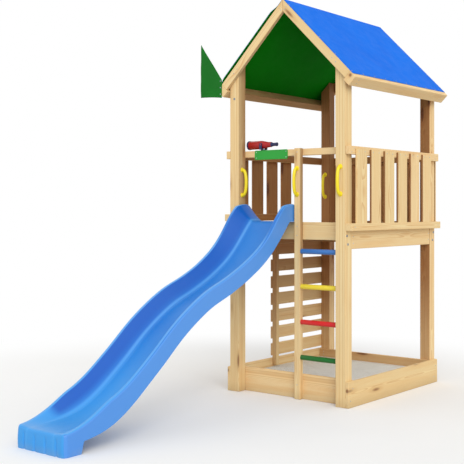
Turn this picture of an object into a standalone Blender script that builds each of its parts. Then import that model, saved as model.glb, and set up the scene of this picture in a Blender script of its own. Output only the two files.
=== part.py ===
import math

import bmesh
import bpy
from mathutils import Matrix, Vector

# All sizes are in metres. Left, right, front and back are as seen by someone who
# stands in front of the slide: the slide runs towards -Y, right is +X.

fitGap = 0.0003              # between two pieces that touch
timberEdge = 0.003           # planed corner of the timber

# Corner posts
postSize = 0.095
towerWidth = 1.171           # over the posts, left to right
towerDepth = 1.507           # over the posts, front to back

# Platform
sideBeamBottom = 1.250
sideBeamHeight = 0.144
beamThickness = 0.045
frontBeamRise = 0.066        # over the side beams
frontBeamHeight = 0.144
deckThickness = 0.028
deckBoardCount = 8
deckBoardGap = 0.008
joistHeight = 0.095

# Sandbox
sandboxHeight = 0.206
sandboxBoard = 0.028
sandLevel = 0.130
sandRipple = 0.005
sandSteps = 12

# Railing
railTop = 2.066
railHeight = 0.066
railThickness = 0.040
frontRailHeight = 0.055
frontRailThickness = 0.045
footRailHeight = 0.060
footRailThickness = 0.060
leftFootRailRise = 0.068     # the left foot rail lies above the climbing boards
slatWidth = 0.155
slatThickness = 0.018
slatBelowRailTop = 0.020
slatSink = 0.006             # tenon of a slat in its foot rail
slatGap = 0.064
rightSlatStart = 0.079       # from the front of the tower
rightSlatCount = 6
leftSlatStart = 0.158
leftSlatCount = 4
leftPanelLength = 0.976      # behind it the climbing side is open
backSlatCount = 5

# Middle post and rungs of the ladder
middlePostWidth = 0.058
middlePostDepth = 0.045
middlePostRise = 0.004       # over the rails
rungDiameter = 0.042
rungHeights = (0.347, 0.638, 0.930, 1.220)
rungSides = 24

# Climbing boards on the left side
climbStart = 0.610           # from the front of the tower
climbBoardHeight = 0.110
climbBoardThickness = 0.020
climbBoardCount = 8
climbBelowFootRail = 0.049   # clear height over the highest board
climbAboveSandbox = 0.0225   # and under the lowest one
studWidth = 0.045
studDepth = 0.045
studLift = 0.006             # over the sand

# Roof
roofApex = 3.295             # where the rafters' top edges meet
roofPitch = math.radians(45.0)
rafterDepth = 0.070
rafterThickness = 0.035
eaveDepth = 0.090            # square to the slope
eaveWidth = 0.070            # down the slope
ridgeWidth = 0.045
ridgeHeight = 0.068
ridgeClearance = 0.002
postUnderRoof = 0.004
sheetThickness = 0.003
sheetEdgeInset = 0.002       # behind the rafters' faces
sheetOntoEave = 0.030
sheetSag = 0.010
sheetStepsAcross = 8
sheetStepsAlong = 10

# Pennant at the front left eave
pennantHeight = 0.467
pennantLeft = 0.180          # past the eave beam's outer edge
pennantRight = 0.052         # over the eave beam's end
pennantPeakRise = 0.416      # of the peak over the eave beam's top corner
pennantInnerRise = 0.088
pennantSlant = 0.016
pennantThickness = 0.003
pennantWave = 0.012
pennantSteps = 10

# Slide
slideWidth = 0.475
slideTopFlare = 0.0555       # the top is wider by this
slideSideClearance = 0.008   # from the top to the posts on both sides
slideFlareRun = 0.700        # the flare runs out over this length
slideRun = 2.380             # from the front of the tower to the end of the floor
slideEndHeight = 0.138
slideWall = 0.005
slideWallHeight = 0.125
slideEndWallHeight = 0.010
slideTaperRun = 0.480        # the side walls run out over this length
slideWallLean = 0.077
slideRimWidth = 0.028
slideFloorRadius = 0.055
slideRimInnerRadius = 0.010
slideRimOuterRadius = 0.013
slideSkirt = 0.006           # the outer walls hang this far below the floor
slideSkirtStart = 0.100      # from the front of the tower to where they do so fully
slideEndSkirt = 0.062        # and this much more at the end
slideSkirtRun = 0.800
slideStations = 36
slideArcSteps = 3
# The floor's double wave as shares of its run and of its drop
slideWave = ((0.000, 0.000), (0.110, 0.204), (0.208, 0.323), (0.306, 0.407), (0.412, 0.481),
             (0.527, 0.606), (0.633, 0.759), (0.751, 0.910), (0.857, 0.985), (1.000, 1.000))
slideWaveBefore = (-0.060, 0.001)  # a point before the lip and one past the end,
slideWaveAfter = (0.150, -0.004)   # which set the curve's slope there
slideFootLength = 0.148
slideFootWall = 0.007
slideFootRadius = 0.026
slideFootLean = 0.014
slideFootCrown = 0.016
slideFootRound = 0.012       # of its top edge
grooveCount = 4
grooveDepth = 0.006
grooveWidth = 0.022

# Bowed hand grips
gripLength = 0.216           # between the middles of its feet
gripReach = 0.058
gripDiameter = 0.022
gripFootDiameter = 0.040
gripAboveSlide = 0.102       # clear height over the slide's walls
gripSides = 12
gripSteps = 20

# Telescope
scopeFromPost = 0.1755       # from the left post to the middle of the telescope
scopePivotRise = 0.050       # of the tilt pin over the front rail
scopeBodyRadius = 0.036
scopeBodyLength = 0.226
scopeTaperLength = 0.110
scopeNeckRadius = 0.022
scopeRingRadius = 0.039
scopeRingBore = 0.031
scopeRingLength = 0.014
scopeRecess = 0.010
scopeEyeLength = 0.062
scopeEyeRadius = 0.019
scopeEyeEndRadius = 0.014
scopeHalfLength = 0.153      # from the pin to the front of the ring
swivelRadius = 0.021
swivelHeight = 0.008
yokePlate = 0.004
yokeCheek = 0.005
yokeSideGap = 0.001
yokeWidth = 0.026
pinRadius = 0.006
pinClearance = 0.0004
roundSides = 28

# Bare plate on the front rail
plateLength = 0.345
plateHeight = 0.080
plateThickness = 0.006
plateCorner = 0.012
plateRight = -0.040          # its right edge, from the middle of the tower
plateRise = 0.002            # over the front rail's top

halfWidth = towerWidth / 2
halfDepth = towerDepth / 2
frontInner = -halfDepth + postSize
backInner = halfDepth - postSize
sideInner = halfWidth - postSize
sideBeamTop = sideBeamBottom + sideBeamHeight
frontBeamTop = sideBeamTop + frontBeamRise
middlePostTop = railTop + middlePostRise
rafterFront = halfDepth + fitGap + rafterThickness
middlePostLeft = slideWidth + slideTopFlare + 2 * slideSideClearance - sideInner
climbTopCentre = sideBeamTop + leftFootRailRise - climbBelowFootRail - climbBoardHeight / 2
climbDrop = climbTopCentre - climbBoardHeight / 2 - climbAboveSandbox - sandboxHeight
climbBoardPitch = climbDrop / (climbBoardCount - 1)
gripHeight = frontBeamTop + slideWallHeight + gripAboveSlide + gripLength / 2
scopeX = scopeFromPost - sideInner


def clearScene():
    for item in list(bpy.data.objects):
        bpy.data.objects.remove(item, do_unlink=True)


def makeMaterial(name, colour, roughness, metallic=0.0):
    material = bpy.data.materials.new(name)
    material.use_nodes = True
    shader = material.node_tree.nodes["Principled BSDF"]
    shader.inputs["Base Color"].default_value = (*colour, 1.0)
    shader.inputs["Roughness"].default_value = roughness
    shader.inputs["Metallic"].default_value = metallic
    return material


timber = (0.72, 0.53, 0.30)
plasticBlue = (0.03, 0.19, 0.72)
gripYellow = (0.80, 0.66, 0.02)

root = None


def addObject(name, bm, colour, roughness, origin=None, smooth=False):
    """Turns a bmesh in tower coordinates into a named object with its own material."""
    bmesh.ops.recalc_face_normals(bm, faces=bm.faces)
    if origin is None:
        low = Vector([min(v.co[i] for v in bm.verts) for i in range(3)])
        high = Vector([max(v.co[i] for v in bm.verts) for i in range(3)])
        origin = (low + high) / 2
    bmesh.ops.translate(bm, vec=-Vector(origin), verts=bm.verts)
    mesh = bpy.data.meshes.new(name)
    bm.to_mesh(mesh)
    bm.free()
    if smooth:
        mesh.shade_smooth()
        mesh.set_sharp_from_angle(angle=math.radians(32.0))
    item = bpy.data.objects.new(name, mesh)
    item.data.materials.append(makeMaterial(name, colour, roughness))
    item.location = origin
    item.parent = root
    bpy.context.scene.collection.objects.link(item)
    return item


def addBox(bm, low, high, edge=timberEdge):
    corners = bmesh.ops.create_cube(bm, size=1.0)["verts"]
    low, high = Vector(low), Vector(high)
    bmesh.ops.scale(bm, vec=high - low, verts=corners)
    bmesh.ops.translate(bm, vec=(low + high) / 2, verts=corners)
    if edge > 0:
        edges = list({e for v in corners for e in v.link_edges})
        bmesh.ops.bevel(bm, geom=edges, offset=edge, segments=1, affect="EDGES")


def makeBar(name, low, high, colour=timber, roughness=0.62, edge=timberEdge):
    bm = bmesh.new()
    addBox(bm, low, high, edge)
    return addObject(name, bm, colour, roughness)


def addPrism(bm, outline, start, end, edge=0.0, axis="y"):
    """Extrudes an outline drawn in the plane across the axis."""
    def point(a, b, c):
        return {"x": (c, a, b), "y": (a, c, b), "z": (a, b, c)}[axis]

    verts = [bm.verts.new(point(a, b, start)) for a, b in outline]
    face = bm.faces.new(verts)
    pushed = bmesh.ops.extrude_face_region(bm, geom=[face])["geom"]
    moved = [g for g in pushed if isinstance(g, bmesh.types.BMVert)]
    bmesh.ops.translate(bm, vec=Vector(point(0, 0, end)) - Vector(point(0, 0, start)), verts=moved)
    if face.is_valid and len(face.edges[0].link_faces) < 2:
        bm.faces.new(verts)
    if edge > 0:
        edges = list({e for v in verts + moved for e in v.link_edges})
        bmesh.ops.bevel(bm, geom=edges, offset=edge, segments=1, affect="EDGES")


def makePrism(name, outline, start, end, colour=timber, roughness=0.62, edge=timberEdge, axis="y"):
    bm = bmesh.new()
    addPrism(bm, outline, start, end, edge, axis)
    return addObject(name, bm, colour, roughness)


def hideTool(item):
    item.hide_render = True
    item.display_type = "WIRE"


def addTool(name, bm):
    item = addObject(name, bm, timber, 0.6, origin=(0, 0, 0))
    hideTool(item)
    return item


def joinWith(item, tool, operation="UNION"):
    modifier = item.modifiers.new("join" if operation == "UNION" else "cut", "BOOLEAN")
    modifier.operation = operation
    modifier.solver = "EXACT"
    modifier.object = tool


def makeFused(name, baseBox, otherBoxes):
    """A timber with others fastened along it, one solid."""
    base = makeBar(name, *baseBox)
    bm = bmesh.new()
    for low, high in otherBoxes:
        addBox(bm, low, high)
    joinWith(base, addTool(name + "_tool", bm))
    return base


def filletPath(corners, steps):
    """Points along a polyline of (a, b, radius) whose inner corners are rounded."""
    path = [Vector(corners[0][:2])]
    for before, corner, after in zip(corners, corners[1:], corners[2:]):
        here = Vector(corner[:2])
        toBefore = (Vector(before[:2]) - here)
        toAfter = (Vector(after[:2]) - here)
        half = toBefore.angle(toAfter) / 2
        reach = corner[2] / math.tan(half)
        reach = min(reach, 0.48 * toBefore.length, 0.48 * toAfter.length)
        radius = reach * math.tan(half)
        centre = here + (toBefore.normalized() + toAfter.normalized()).normalized() * radius / math.sin(half)
        start = here + toBefore.normalized() * reach - centre
        end = here + toAfter.normalized() * reach - centre
        turn = start.angle_signed(end)
        for i in range(steps + 1):
            path.append(centre + Matrix.Rotation(-turn * i / steps, 2) @ start)
    path.append(Vector(corners[-1][:2]))
    return path


def addTurned(bm, profile, axis, centre, sides=roundSides):
    """Spins a profile of (along the axis, radius) round the axis through the centre."""
    axis = Vector(axis)
    across = axis.orthogonal().normalized()
    centre = Vector(centre)
    verts = [bm.verts.new(centre + axis * along + across * radius) for along, radius in profile]
    edges = [bm.edges.new(pair) for pair in zip(verts, verts[1:])]
    if profile[0][1] > 0:
        edges.append(bm.edges.new((verts[-1], verts[0])))
    spun = bmesh.ops.spin(bm, geom=verts + edges, cent=centre, axis=axis, angle=2 * math.pi,
                          steps=sides, use_merge=True)
    bmesh.ops.remove_doubles(bm, verts=bm.verts, dist=0.00002)
    return spun


def buildPosts():
    """Posts whose tops follow the roof."""
    for sideName, side in (("left", -1), ("right", 1)):
        for endName, end in (("front", -1), ("back", 1)):
            outerTop = roofApex - halfWidth * math.tan(roofPitch) - postUnderRoof
            innerTop = roofApex - sideInner * math.tan(roofPitch) - postUnderRoof
            outline = [(side * sideInner, 0), (side * halfWidth, 0), (side * halfWidth, outerTop),
                       (side * sideInner, innerTop)]
            ends = sorted((end * halfDepth, end * (halfDepth - postSize)))
            makePrism("post_%s_%s" % (endName, sideName), outline, *ends)
    makeBar("post_middle", (middlePostLeft, frontInner - middlePostDepth, 0),
            (middlePostLeft + middlePostWidth, frontInner, middlePostTop))


def buildSandbox():
    front = frontInner + fitGap
    back = backInner - fitGap
    side = halfWidth + fitGap
    for name, low, high in (
            ("front", (-halfWidth, front), (halfWidth, front + sandboxBoard)),
            ("back", (-halfWidth, back - sandboxBoard), (halfWidth, back)),
            ("left", (-side - sandboxBoard, -halfDepth), (-side, halfDepth)),
            ("right", (side, -halfDepth), (side + sandboxBoard, halfDepth))):
        makeBar("sandbox_board_" + name, (*low, 0), (*high, sandboxHeight))
    sandX = halfWidth - fitGap
    sandY = (front + sandboxBoard + fitGap, back - sandboxBoard - fitGap)
    bm = bmesh.new()
    top = []
    for i in range(sandSteps + 1):
        row = []
        for j in range(sandSteps + 1):
            a, b = i / sandSteps, j / sandSteps
            fade = math.sin(math.pi * a) * math.sin(math.pi * b)
            ripple = sandRipple * fade * (math.sin(9.0 * a + 2.0 * b) + math.cos(7.0 * b - 3.0 * a))
            row.append(bm.verts.new((-sandX + 2 * sandX * a, sandY[0] + (sandY[1] - sandY[0]) * b,
                                     sandLevel + ripple)))
        top.append(row)
    for i in range(sandSteps):
        for j in range(sandSteps):
            bm.faces.new((top[i][j], top[i + 1][j], top[i + 1][j + 1], top[i][j + 1]))
    last = sandSteps
    rim = ([top[i][0] for i in range(last)] + [top[last][j] for j in range(last)]
           + [top[i][last] for i in range(last, 0, -1)] + [top[0][j] for j in range(last, 0, -1)])
    base = [bm.verts.new((v.co.x, v.co.y, 0)) for v in rim]
    for i in range(len(rim)):
        j = (i + 1) % len(rim)
        bm.faces.new((rim[i], rim[j], base[j], base[i]))
    bm.faces.new(base)
    addObject("sand_bed", bm, (0.60, 0.61, 0.57), 0.95)


def buildPlatform():
    front = frontInner + fitGap
    back = backInner - fitGap
    for name, side in (("left", -1), ("right", 1)):
        xs = sorted((side * halfWidth, side * (halfWidth - beamThickness)))
        makeBar("platform_beam_" + name, (xs[0], front, sideBeamBottom), (xs[1], back, sideBeamTop))
    beamX = halfWidth - beamThickness - fitGap
    makeBar("platform_beam_front", (-beamX, front, frontBeamTop - frontBeamHeight),
            (beamX, front + beamThickness, frontBeamTop))
    makeBar("platform_beam_back", (-beamX, back - beamThickness, sideBeamBottom), (beamX, back, sideBeamTop))
    deckFront = front + beamThickness + fitGap
    pitch = (back - deckFront + deckBoardGap) / deckBoardCount
    deckBottom = sideBeamTop + fitGap
    boards = []
    for i in range(deckBoardCount):
        y = deckFront + i * pitch
        boards.append(((-halfWidth, y, deckBottom),
                       (halfWidth, y + pitch - deckBoardGap, deckBottom + deckThickness)))
    joist = ((-beamThickness / 2, deckFront, deckBottom + timberEdge - joistHeight),
             (beamThickness / 2, back - beamThickness - fitGap, deckBottom + timberEdge + 0.001))
    makeFused("platform_deck", joist, boards)


def buildRailing():
    slatIn = halfWidth + fitGap + railThickness + fitGap
    slatOut = slatIn + slatThickness
    slatTop = railTop - slatBelowRailTop
    for name, side, rise, start, count, length in (
            ("right", 1, 0.0, rightSlatStart, rightSlatCount, towerDepth),
            ("left", -1, leftFootRailRise, leftSlatStart, leftSlatCount, leftPanelLength)):
        xs = sorted((side * (halfWidth + fitGap), side * (halfWidth + fitGap + railThickness)))
        makeBar("top_rail_" + name, (xs[0], -halfDepth, railTop - railHeight), (xs[1], halfDepth, railTop))
        footBottom = sideBeamTop + fitGap + rise
        xs = sorted((side * (halfWidth + fitGap), side * (halfWidth + fitGap + footRailThickness)))
        foot = ((xs[0], -halfDepth, footBottom), (xs[1], -halfDepth + length, footBottom + footRailHeight))
        xs = sorted((side * slatIn, side * slatOut))
        slats = []
        for i in range(count):
            y = -halfDepth + start + i * (slatWidth + slatGap)
            slats.append(((xs[0], y, footBottom + footRailHeight - slatSink), (xs[1], y + slatWidth, slatTop)))
        makeFused("railing_" + name, foot, slats)
    back = halfDepth + fitGap
    makeBar("top_rail_back", (-halfWidth, back, railTop - railHeight), (halfWidth, back + railThickness, railTop))
    foot = ((-halfWidth, back, sideBeamTop + fitGap),
            (halfWidth, back + footRailThickness, sideBeamTop + fitGap + footRailHeight))
    pitch = (towerWidth + slatGap) / backSlatCount
    slats = []
    for i in range(backSlatCount):
        x = -halfWidth + (pitch - slatWidth) / 2 + i * pitch - slatGap / 2
        slats.append(((x, back + railThickness + fitGap, foot[1][2] - slatSink),
                      (x + slatWidth, back + railThickness + fitGap + slatThickness, slatTop)))
    makeFused("railing_back", foot, slats)
    makeBar("front_rail", (-halfWidth, frontInner + fitGap, railTop - frontRailHeight),
            (halfWidth, frontInner + fitGap + frontRailThickness, railTop))


def buildLadder():
    start = middlePostLeft + middlePostWidth + fitGap
    length = sideInner - fitGap - start
    colours = {"green": (0.02, 0.15, 0.01), "red": (0.60, 0.02, 0.01),
               "yellow": (0.80, 0.62, 0.01), "blue": (0.04, 0.13, 0.42)}
    for height, (name, colour) in zip(rungHeights, colours.items()):
        bm = bmesh.new()
        radius = rungDiameter / 2
        profile = ((0, 0), (0, radius - 0.002), (0.002, radius), (length - 0.002, radius),
                   (length, radius - 0.002), (length, 0))
        addTurned(bm, profile, (1, 0, 0), (start, frontInner - middlePostDepth / 2, height), rungSides)
        addObject("rung_" + name, bm, colour, 0.4, smooth=True)


def buildClimbingSide():
    front = -halfDepth + climbStart
    for i in range(climbBoardCount):
        middle = climbTopCentre - i * climbBoardPitch
        makeBar("climbing_board_%d" % (i + 1),
                (-halfWidth - fitGap - climbBoardThickness, front, middle - climbBoardHeight / 2),
                (-halfWidth - fitGap, halfDepth, middle + climbBoardHeight / 2))
    makeBar("climbing_stud", (-halfWidth, front, sandLevel + 2 * sandRipple + studLift),
            (-halfWidth + studDepth, front + studWidth, sideBeamBottom - fitGap))


def roofPoint(side, along, depth):
    """A point down the slope from the apex and square below the rafters' top."""
    sine, cosine = math.sin(roofPitch), math.cos(roofPitch)
    return (side * (along * cosine - depth * sine), roofApex - along * sine - depth * cosine)


def eaveStart():
    """Where the eave beam's inner lower corner meets the outside of the posts."""
    return (halfWidth + fitGap) / math.cos(roofPitch) + eaveDepth * math.tan(roofPitch)


def buildRoof():
    start = eaveStart()
    for sideName, side in (("left", -1), ("right", 1)):
        mitreTop = fitGap / math.cos(roofPitch)
        mitreFoot = mitreTop + rafterDepth * math.tan(roofPitch)
        outline = [roofPoint(side, mitreTop, 0), roofPoint(side, start - fitGap, 0),
                   roofPoint(side, start - fitGap, rafterDepth), roofPoint(side, mitreFoot, rafterDepth)]
        for endName, end in (("front", -1), ("back", 1)):
            ys = sorted((end * (halfDepth + fitGap), end * rafterFront))
            makePrism("rafter_%s_%s" % (endName, sideName), outline, *ys)
        outline = [roofPoint(side, start, 0), roofPoint(side, start + eaveWidth, 0),
                   roofPoint(side, start + eaveWidth, eaveDepth), roofPoint(side, start, eaveDepth)]
        makePrism("eave_beam_" + sideName, outline, -rafterFront, rafterFront)
    ridgeTop = roofApex - ridgeWidth / 2 * math.tan(roofPitch) - ridgeClearance
    makeBar("ridge_beam", (-ridgeWidth / 2, -halfDepth, ridgeTop - ridgeHeight),
            (ridgeWidth / 2, halfDepth, ridgeTop))


def buildSheet():
    """One cloth over the ridge, drawn tight over the gables and sagging a little between them."""
    lift = fitGap + sheetThickness / 2
    ridgeEdge = ridgeWidth
    span = eaveStart() - ridgeEdge
    slope = [0.0] + [ridgeEdge + span * i / sheetStepsAcross for i in range(sheetStepsAcross + 1)]
    slope.append(eaveStart() + sheetOntoEave)
    along = [-halfDepth + towerDepth * j / sheetStepsAlong for j in range(sheetStepsAlong + 1)]
    along = [-rafterFront + sheetEdgeInset] + along + [rafterFront - sheetEdgeInset]
    bm = bmesh.new()
    rows = []
    for side, distance in [(-1, d) for d in reversed(slope[1:])] + [(1, d) for d in slope]:
        share = min(1.0, max(0.0, (distance - ridgeEdge) / span))
        row = []
        for y in along:
            inside = max(0.0, 1 - (y / halfDepth) ** 2)
            sag = sheetSag * inside * math.sin(math.pi * share)
            x, z = roofPoint(side, distance, sag - lift)
            if distance == 0:
                x, z = 0, roofApex + lift / math.cos(roofPitch)
            row.append(bm.verts.new((x, y, z)))
        rows.append(row)
    for a, b in zip(rows, rows[1:]):
        for j in range(len(along) - 1):
            bm.faces.new((a[j], b[j], b[j + 1], a[j + 1]))
    sheet = addObject("roof_sheet", bm, (0.01, 0.18, 0.95), 0.5)
    thicken(sheet, sheetThickness)


def thicken(item, thickness):
    modifier = item.modifiers.new("thickness", "SOLIDIFY")
    modifier.thickness = thickness
    modifier.offset = 0.0
    modifier.use_even_offset = True


def buildPennant():
    """A plain pennant screwed to the end of the left eave beam, wavy where it is free."""
    top = roofPoint(-1, eaveStart() + eaveWidth, 0)
    left = top[0] - pennantLeft
    right = top[0] + pennantRight
    peak = top[1] + pennantPeakRise
    y = -rafterFront - fitGap - pennantThickness / 2
    bm = bmesh.new()
    rows = []
    for i in range(pennantSteps + 1):
        share = i / pennantSteps
        x = left + (right - left) * share
        high = peak + (top[1] + pennantInnerRise - peak) * share
        low = peak - pennantHeight - pennantSlant * share * share
        free = max(0.0, (top[0] - x) / pennantLeft)
        row = []
        for j in range(pennantSteps + 1):
            z = high + (low - high) * j / pennantSteps
            wave = -pennantWave * free * (1 + math.sin(5.0 * share + 2.2 * j / pennantSteps)) / 2
            row.append(bm.verts.new((x, y + wave, z)))
        rows.append(row)
    for a, b in zip(rows, rows[1:]):
        for j in range(pennantSteps):
            bm.faces.new((a[j], a[j + 1], b[j + 1], b[j]))
    pennant = addObject("pennant", bm, (0.0, 0.19, 0.01), 0.6)
    thicken(pennant, pennantThickness)


def slideFloor(share):
    """Run and height of the floor: a smooth curve through the wave's points."""
    lipHeight = frontBeamTop + fitGap + slideWall / 2
    points = [Vector((run * slideRun, lipHeight - drop * (lipHeight - slideEndHeight))) for run, drop in slideWave]
    points.insert(0, Vector((0, lipHeight)) + Vector(slideWaveBefore))
    points.append(points[-1] + Vector(slideWaveAfter))
    place = share * (len(slideWave) - 1)
    index = min(int(place), len(slideWave) - 2)
    t = place - index
    a, b, c, d = points[index:index + 4]
    return 0.5 * ((2 * b) + (c - a) * t + (2 * a - 5 * b + 4 * c - d) * t * t + (3 * b - a - 3 * c + d) * t ** 3)


def slideSection(height, width, skirt):
    """Half of the chute's section, from the middle of the floor over the rim to the skirt."""
    half = width / 2 - slideWall / 2
    rimInner = half - slideRimWidth
    floorHalf = (slideWidth - slideWall) / 2 - slideRimWidth - slideWallLean
    corners = ((0, 0, 0), (floorHalf, 0, slideFloorRadius), (rimInner, height, slideRimInnerRadius),
               (half, height, slideRimOuterRadius), (half, -skirt, 0))
    return filletPath(corners, slideArcSteps)


def easeBetween(value):
    value = max(0.0, min(1.0, value))
    return value * value * (3 - 2 * value)


def buildSlide():
    middle = (middlePostLeft - sideInner) / 2
    lipHeight = frontBeamTop + fitGap + slideWall / 2
    lipBack = -(postSize + fitGap + beamThickness)
    path = [Vector((lipBack, lipHeight)), Vector((lipBack / 2, lipHeight))]
    path += [slideFloor(i / slideStations) for i in range(slideStations + 1)]
    bm = bmesh.new()
    rows = []
    for i, point in enumerate(path):
        ahead = (path[min(i + 1, len(path) - 1)] - path[max(i - 1, 0)]).normalized()
        if i < 2:
            ahead = Vector((1, 0))
        up = Vector((-ahead.y, ahead.x))
        ease = easeBetween((slideRun - point.x) / slideTaperRun)
        height = slideEndWallHeight + (slideWallHeight - slideEndWallHeight) * ease
        width = slideWidth + slideTopFlare * easeBetween(1 - point.x / slideFlareRun)
        skirt = slideSkirt * easeBetween(point.x / slideSkirtStart)
        skirt += slideEndSkirt * (1 - easeBetween((slideRun - point.x) / slideSkirtRun))
        section = slideSection(height, width, skirt)
        full = [Vector((-p.x, p.y)) for p in reversed(section[1:])] + section
        row = []
        for p in full:
            along = point + up * p.y
            row.append(bm.verts.new((middle + p.x, -halfDepth - along.x, along.y)))
        rows.append(row)
    for a, b in zip(rows, rows[1:]):
        for j in range(len(a) - 1):
            bm.faces.new((a[j], b[j], b[j + 1], a[j + 1]))
    slide = addObject("slide", bm, plasticBlue, 0.35, smooth=True)
    thicken(slide, slideWall)
    joinWith(slide, slideFootTool(middle))


def slideFootTool(middle):
    """The end wall with its grooves and the two side feet down to the ground."""
    half = slideWidth / 2 + 0.0006
    front = -halfDepth - slideRun - 0.004
    back = front + slideFootLength
    corners = ((-half, back, 0), (-half, front, slideFootRadius), (half, front, slideFootRadius), (half, back, 0))
    outer = filletPath(corners, 6)
    bend = outer[:8]
    row = []
    spacing = (slideWidth - 2 * slideFootRadius) / grooveCount
    for i in range(grooveCount):
        centre = -half + slideFootRadius + spacing * (i + 0.5)
        for offset, depth in ((-1, 0), (-0.5, 0.8), (0, 1), (0.5, 0.8), (1, 0)):
            row.append(Vector((centre + offset * grooveWidth / 2, front + depth * grooveDepth)))
    outer = bend + row + [Vector((-p.x, p.y)) for p in reversed(bend)]
    inner = []
    for i, p in enumerate(outer):
        ahead = outer[min(i + 1, len(outer) - 1)] - outer[max(i - 1, 0)]
        if i in (0, len(outer) - 1):
            ahead = Vector((0, -1 if i == 0 else 1))
        ahead.normalize()
        inner.append(p + Vector((-ahead.y, ahead.x)) * slideFootWall)
    flat = front + grooveDepth + slideFootWall
    inner = [Vector((p.x, flat)) if abs(p.x) < half - slideFootRadius and p.y < flat + 0.004 else p for p in inner]
    ring = outer + list(reversed(inner))
    bm = bmesh.new()
    top = slideEndHeight + slideWall / 2 + 2 * fitGap
    levels = [((top - slideFootRound) * i / 5, 0.0) for i in range(6)]
    levels += [(top - 0.3 * slideFootRound, 0.3 * slideFootRound), (top, slideFootRound)]
    loops = []
    for height, inset in levels:
        share = height / top
        crown = slideFootCrown * math.sin(math.pi * (0.15 + 0.85 * share)) - slideFootLean * share
        loop = []
        for p in ring:
            reach = max(0.0, 1 - (p.y - front) / slideFootLength)
            back = inset * min(1.0, 3 * reach) - crown * reach * 0.5
            loop.append(bm.verts.new((middle + p.x, p.y + back, height)))
        loops.append(loop)
    for a, b in zip(loops, loops[1:]):
        for j in range(len(ring)):
            k = (j + 1) % len(ring)
            bm.faces.new((a[j], a[k], b[k], b[j]))
    bm.faces.new(loops[0])
    bm.faces.new(loops[-1])
    return addTool("slide_foot_tool", bm)


def buildGrip(name, face, outward):
    """A bowed bar with a flared foot at each end, standing on a post's face."""
    outward = Vector(outward)
    side = Vector((0, 0, 1)).cross(outward)
    face = Vector(face) + outward * fitGap
    points = []
    radii = []
    half = gripLength / 2
    reach = gripReach - gripDiameter / 2
    for i in range(gripSteps + 1):
        share = -1 + 2 * i / gripSteps
        rise = half * math.sin(share * math.pi / 2)
        out = reach * (1 - abs(share) ** 3.2) ** 0.8
        points.append(face + outward * out + Vector((0, 0, rise)))
        radii.append(gripDiameter / 2)
    for end in (0, -1):
        foot = points[end].copy()
        step = outward * 0.004
        extra = [foot, foot + step, foot + step * 2.5]
        widths = [gripFootDiameter / 2, gripFootDiameter / 2 - 0.001, gripDiameter / 2 + 0.003]
        if end == 0:
            points[0:1] = extra
            radii[0:1] = widths
        else:
            points[-1:] = reversed(extra)
            radii[-1:] = reversed(widths)
    bm = bmesh.new()
    rings = []
    for i, point in enumerate(points):
        ahead = points[min(i + 1, len(points) - 1)] - points[max(i - 1, 0)]
        if i < 3:
            ahead = outward
        if i > len(points) - 4:
            ahead = -outward
        across = ahead.normalized().cross(side)
        rings.append([bm.verts.new(point + (across * math.cos(2 * math.pi * j / gripSides)
                                            + side * math.sin(2 * math.pi * j / gripSides)) * radii[i])
                      for j in range(gripSides)])
    for a, b in zip(rings, rings[1:]):
        for j in range(gripSides):
            bm.faces.new((a[j], a[(j + 1) % gripSides], b[(j + 1) % gripSides], b[j]))
    bm.faces.new(rings[0])
    bm.faces.new(rings[-1])
    addObject(name, bm, gripYellow, 0.4, smooth=True)


def buildGrips():
    middle = postSize / 2
    buildGrip("hand_grip_slide", (-sideInner, -halfDepth + middle, gripHeight), (1, 0, 0))
    buildGrip("hand_grip_middle", (middlePostLeft + middlePostWidth / 2, frontInner - middlePostDepth, gripHeight),
              (0, -1, 0))
    buildGrip("hand_grip_ladder", (halfWidth - middle, -halfDepth, gripHeight), (0, -1, 0))
    buildGrip("hand_grip_climbing", (-halfWidth + middle, backInner, gripHeight), (0, -1, 0))


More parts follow.
